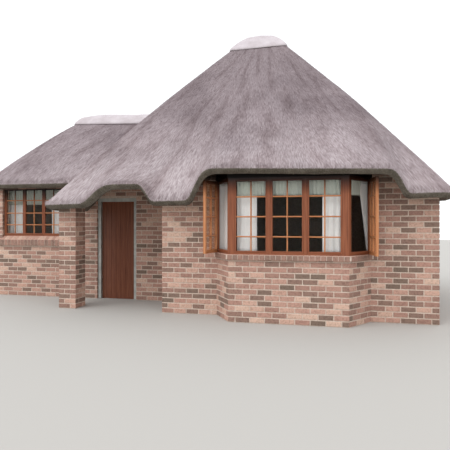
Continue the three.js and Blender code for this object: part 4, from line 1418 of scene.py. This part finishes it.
def curtain(name, path, top, low, track_name, fold=0.11, depth=0.024, replaced=(), narrow=None,
            heading=0.45, material=cloth):
    """Cloth along a plan path from its track down to low. fold is the pitch of its waves and depth their
    size. narrow gives the share of the path that the cloth takes at a share of the way down."""
    path = [Vector(p) for p in path]
    total = sum((b - a).length for a, b in zip(path, path[1:]))
    waves = max(2, round(total / fold))
    rows = max(6, round((top - low) / ROW_HIGH))
    points, uvs, flat_wide = [], [], 0.0
    for r in range(rows + 1):
        down = r / rows
        size = depth * (heading + (1 - heading) * math.sqrt(down))
        line, runs = wavy_line(path, total, narrow(down) if narrow else 1.0, down, waves, size)
        points += [(q.x, q.y, top + (low - top) * down) for q in line]
        uvs += [(run, -(top - low) * down) for run in runs]
        flat_wide = max(flat_wide, runs[-1])
    wide = waves * PER_FOLD + 1
    starts = [r * wide + c for r in range(rows) for c in range(wide - 1)]
    faces = [(i, i + wide, i + wide + 1, i + 1) for i in starts]
    loops = [uvs[i] for face in faces for i in face]
    piece = new_piece(name, points, faces, [material], loops, smooth=True)
    hem = piece.modifiers.new("thickness", "SOLIDIFY")
    hem.thickness = CLOTH_THICK
    hem.offset = 0
    if replaced:
        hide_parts(*replaced)
    wide = round(flat_wide, 3)
    print(name, "flat", wide, "by", round(top - low, 3))


def hang_track(name, line, z):
    sink = new_sink()
    for a, b in zip(line, line[1:]):
        add_bar(sink, UNTURNED, (*a, z), (*b, z), TRACK_WIDE, TRACK_HIGH, across=(0, 0, 1))
    finish_sink(name, sink, painted_steel, "painted_steel")


# %% The bay's curtains
def bay_path(inset, from_share, to_share, first=0, last=2):
    """Part of the line that lies inset behind the bay's outer line, between shares of its end sides."""
    lines = []
    for k in range(first, last + 1):
        start, along, inward, long = stretch(k)
        a = start + inward * inset
        lines.append((a, a + along * long))
    points = [lines[0][0].lerp(lines[0][1], from_share)]
    for (a, b), (c, d) in zip(lines, lines[1:]):
        along1, along2 = (b - a).normalized(), (d - c).normalized()
        cross = along1.x * along2.y - along1.y * along2.x
        t = ((c.x - a.x) * along2.y - (c.y - a.y) * along2.x) / cross
        points.append(a + along1 * t)
    points.append(lines[-1][0].lerp(lines[-1][1], to_share))
    return points


TRACK_Z = BAY_HEAD - 0.028
TRACK_INSET = 0.115
INSET = 0.128
VALANCE_INSET = 0.098
BAY_FREE_EDGES = (-1.457, -0.415)
BAY_VALANCE_DROP = 0.262
left_share, right_share = [(x - BAY_LINE[1].x) / front_long for x in BAY_FREE_EDGES]
jamb_left = Vector((BAY_LINE[0].x + 0.014, 0.062))
jamb_right = Vector((BAY_LINE[3].x - 0.03, 0.17))
on_track = "bay_curtain_track"
hang_track(on_track, bay_path(TRACK_INSET, 0.04, 0.96), TRACK_Z + 0.009)
hang = (TRACK_Z, BAY_SILL + 0.012, on_track)
left_path = [jamb_left, *bay_path(INSET, 0.0, left_share, 0, 1)]
curtain("bay_left_curtain", left_path, *hang, replaced=("bay_curtains",))
curtain("bay_right_curtain", bay_path(INSET, right_share, 0.935, 1, 1), *hang)
tied_path = [jamb_right, *bay_path(INSET, 1.0, 0.76, 2, 2)]
curtain("bay_tied_curtain", tied_path, *hang, 0.06, 0.03, narrow=lambda down: 1 - 0.93 * down)
hang = (TRACK_Z, TRACK_Z - BAY_VALANCE_DROP, on_track)
curtain("bay_valance", bay_path(VALANCE_INSET, 0.85, 0.76), *hang, 0.065, 0.013, heading=0.9, material=net)

# %% The wing's curtains
WING_FREE_EDGES = (-7.2, -6.47)
WING_VALANCE_DROP = 0.355
inside = WING_FRONT + WALL_THICK
left, right = w["left"] - 0.05, w["right"] + 0.05
on_track = "wing_curtain_track"
hang_track(on_track, [(left, inside + 0.035), (right, inside + 0.035)], w["head"] - 0.01)
top = w["head"] - 0.02
hang = (top, w["sill"] - 0.14, on_track)
y = inside + 0.046
curtain("wing_left_curtain", [(left, y), (WING_FREE_EDGES[0], y)], *hang, replaced=("wing_curtains",))
curtain("wing_right_curtain", [(WING_FREE_EDGES[1], y), (right, y)], *hang)
y = inside + 0.014
hang = (top, top - WING_VALANCE_DROP, on_track)
line = [(left + 0.015, y), (right - 0.015, y)]
curtain("wing_valance", line, *hang, 0.065, 0.012, heading=0.9, material=net)

# %% Put the helper away
bpy.data.objects.remove(brick)
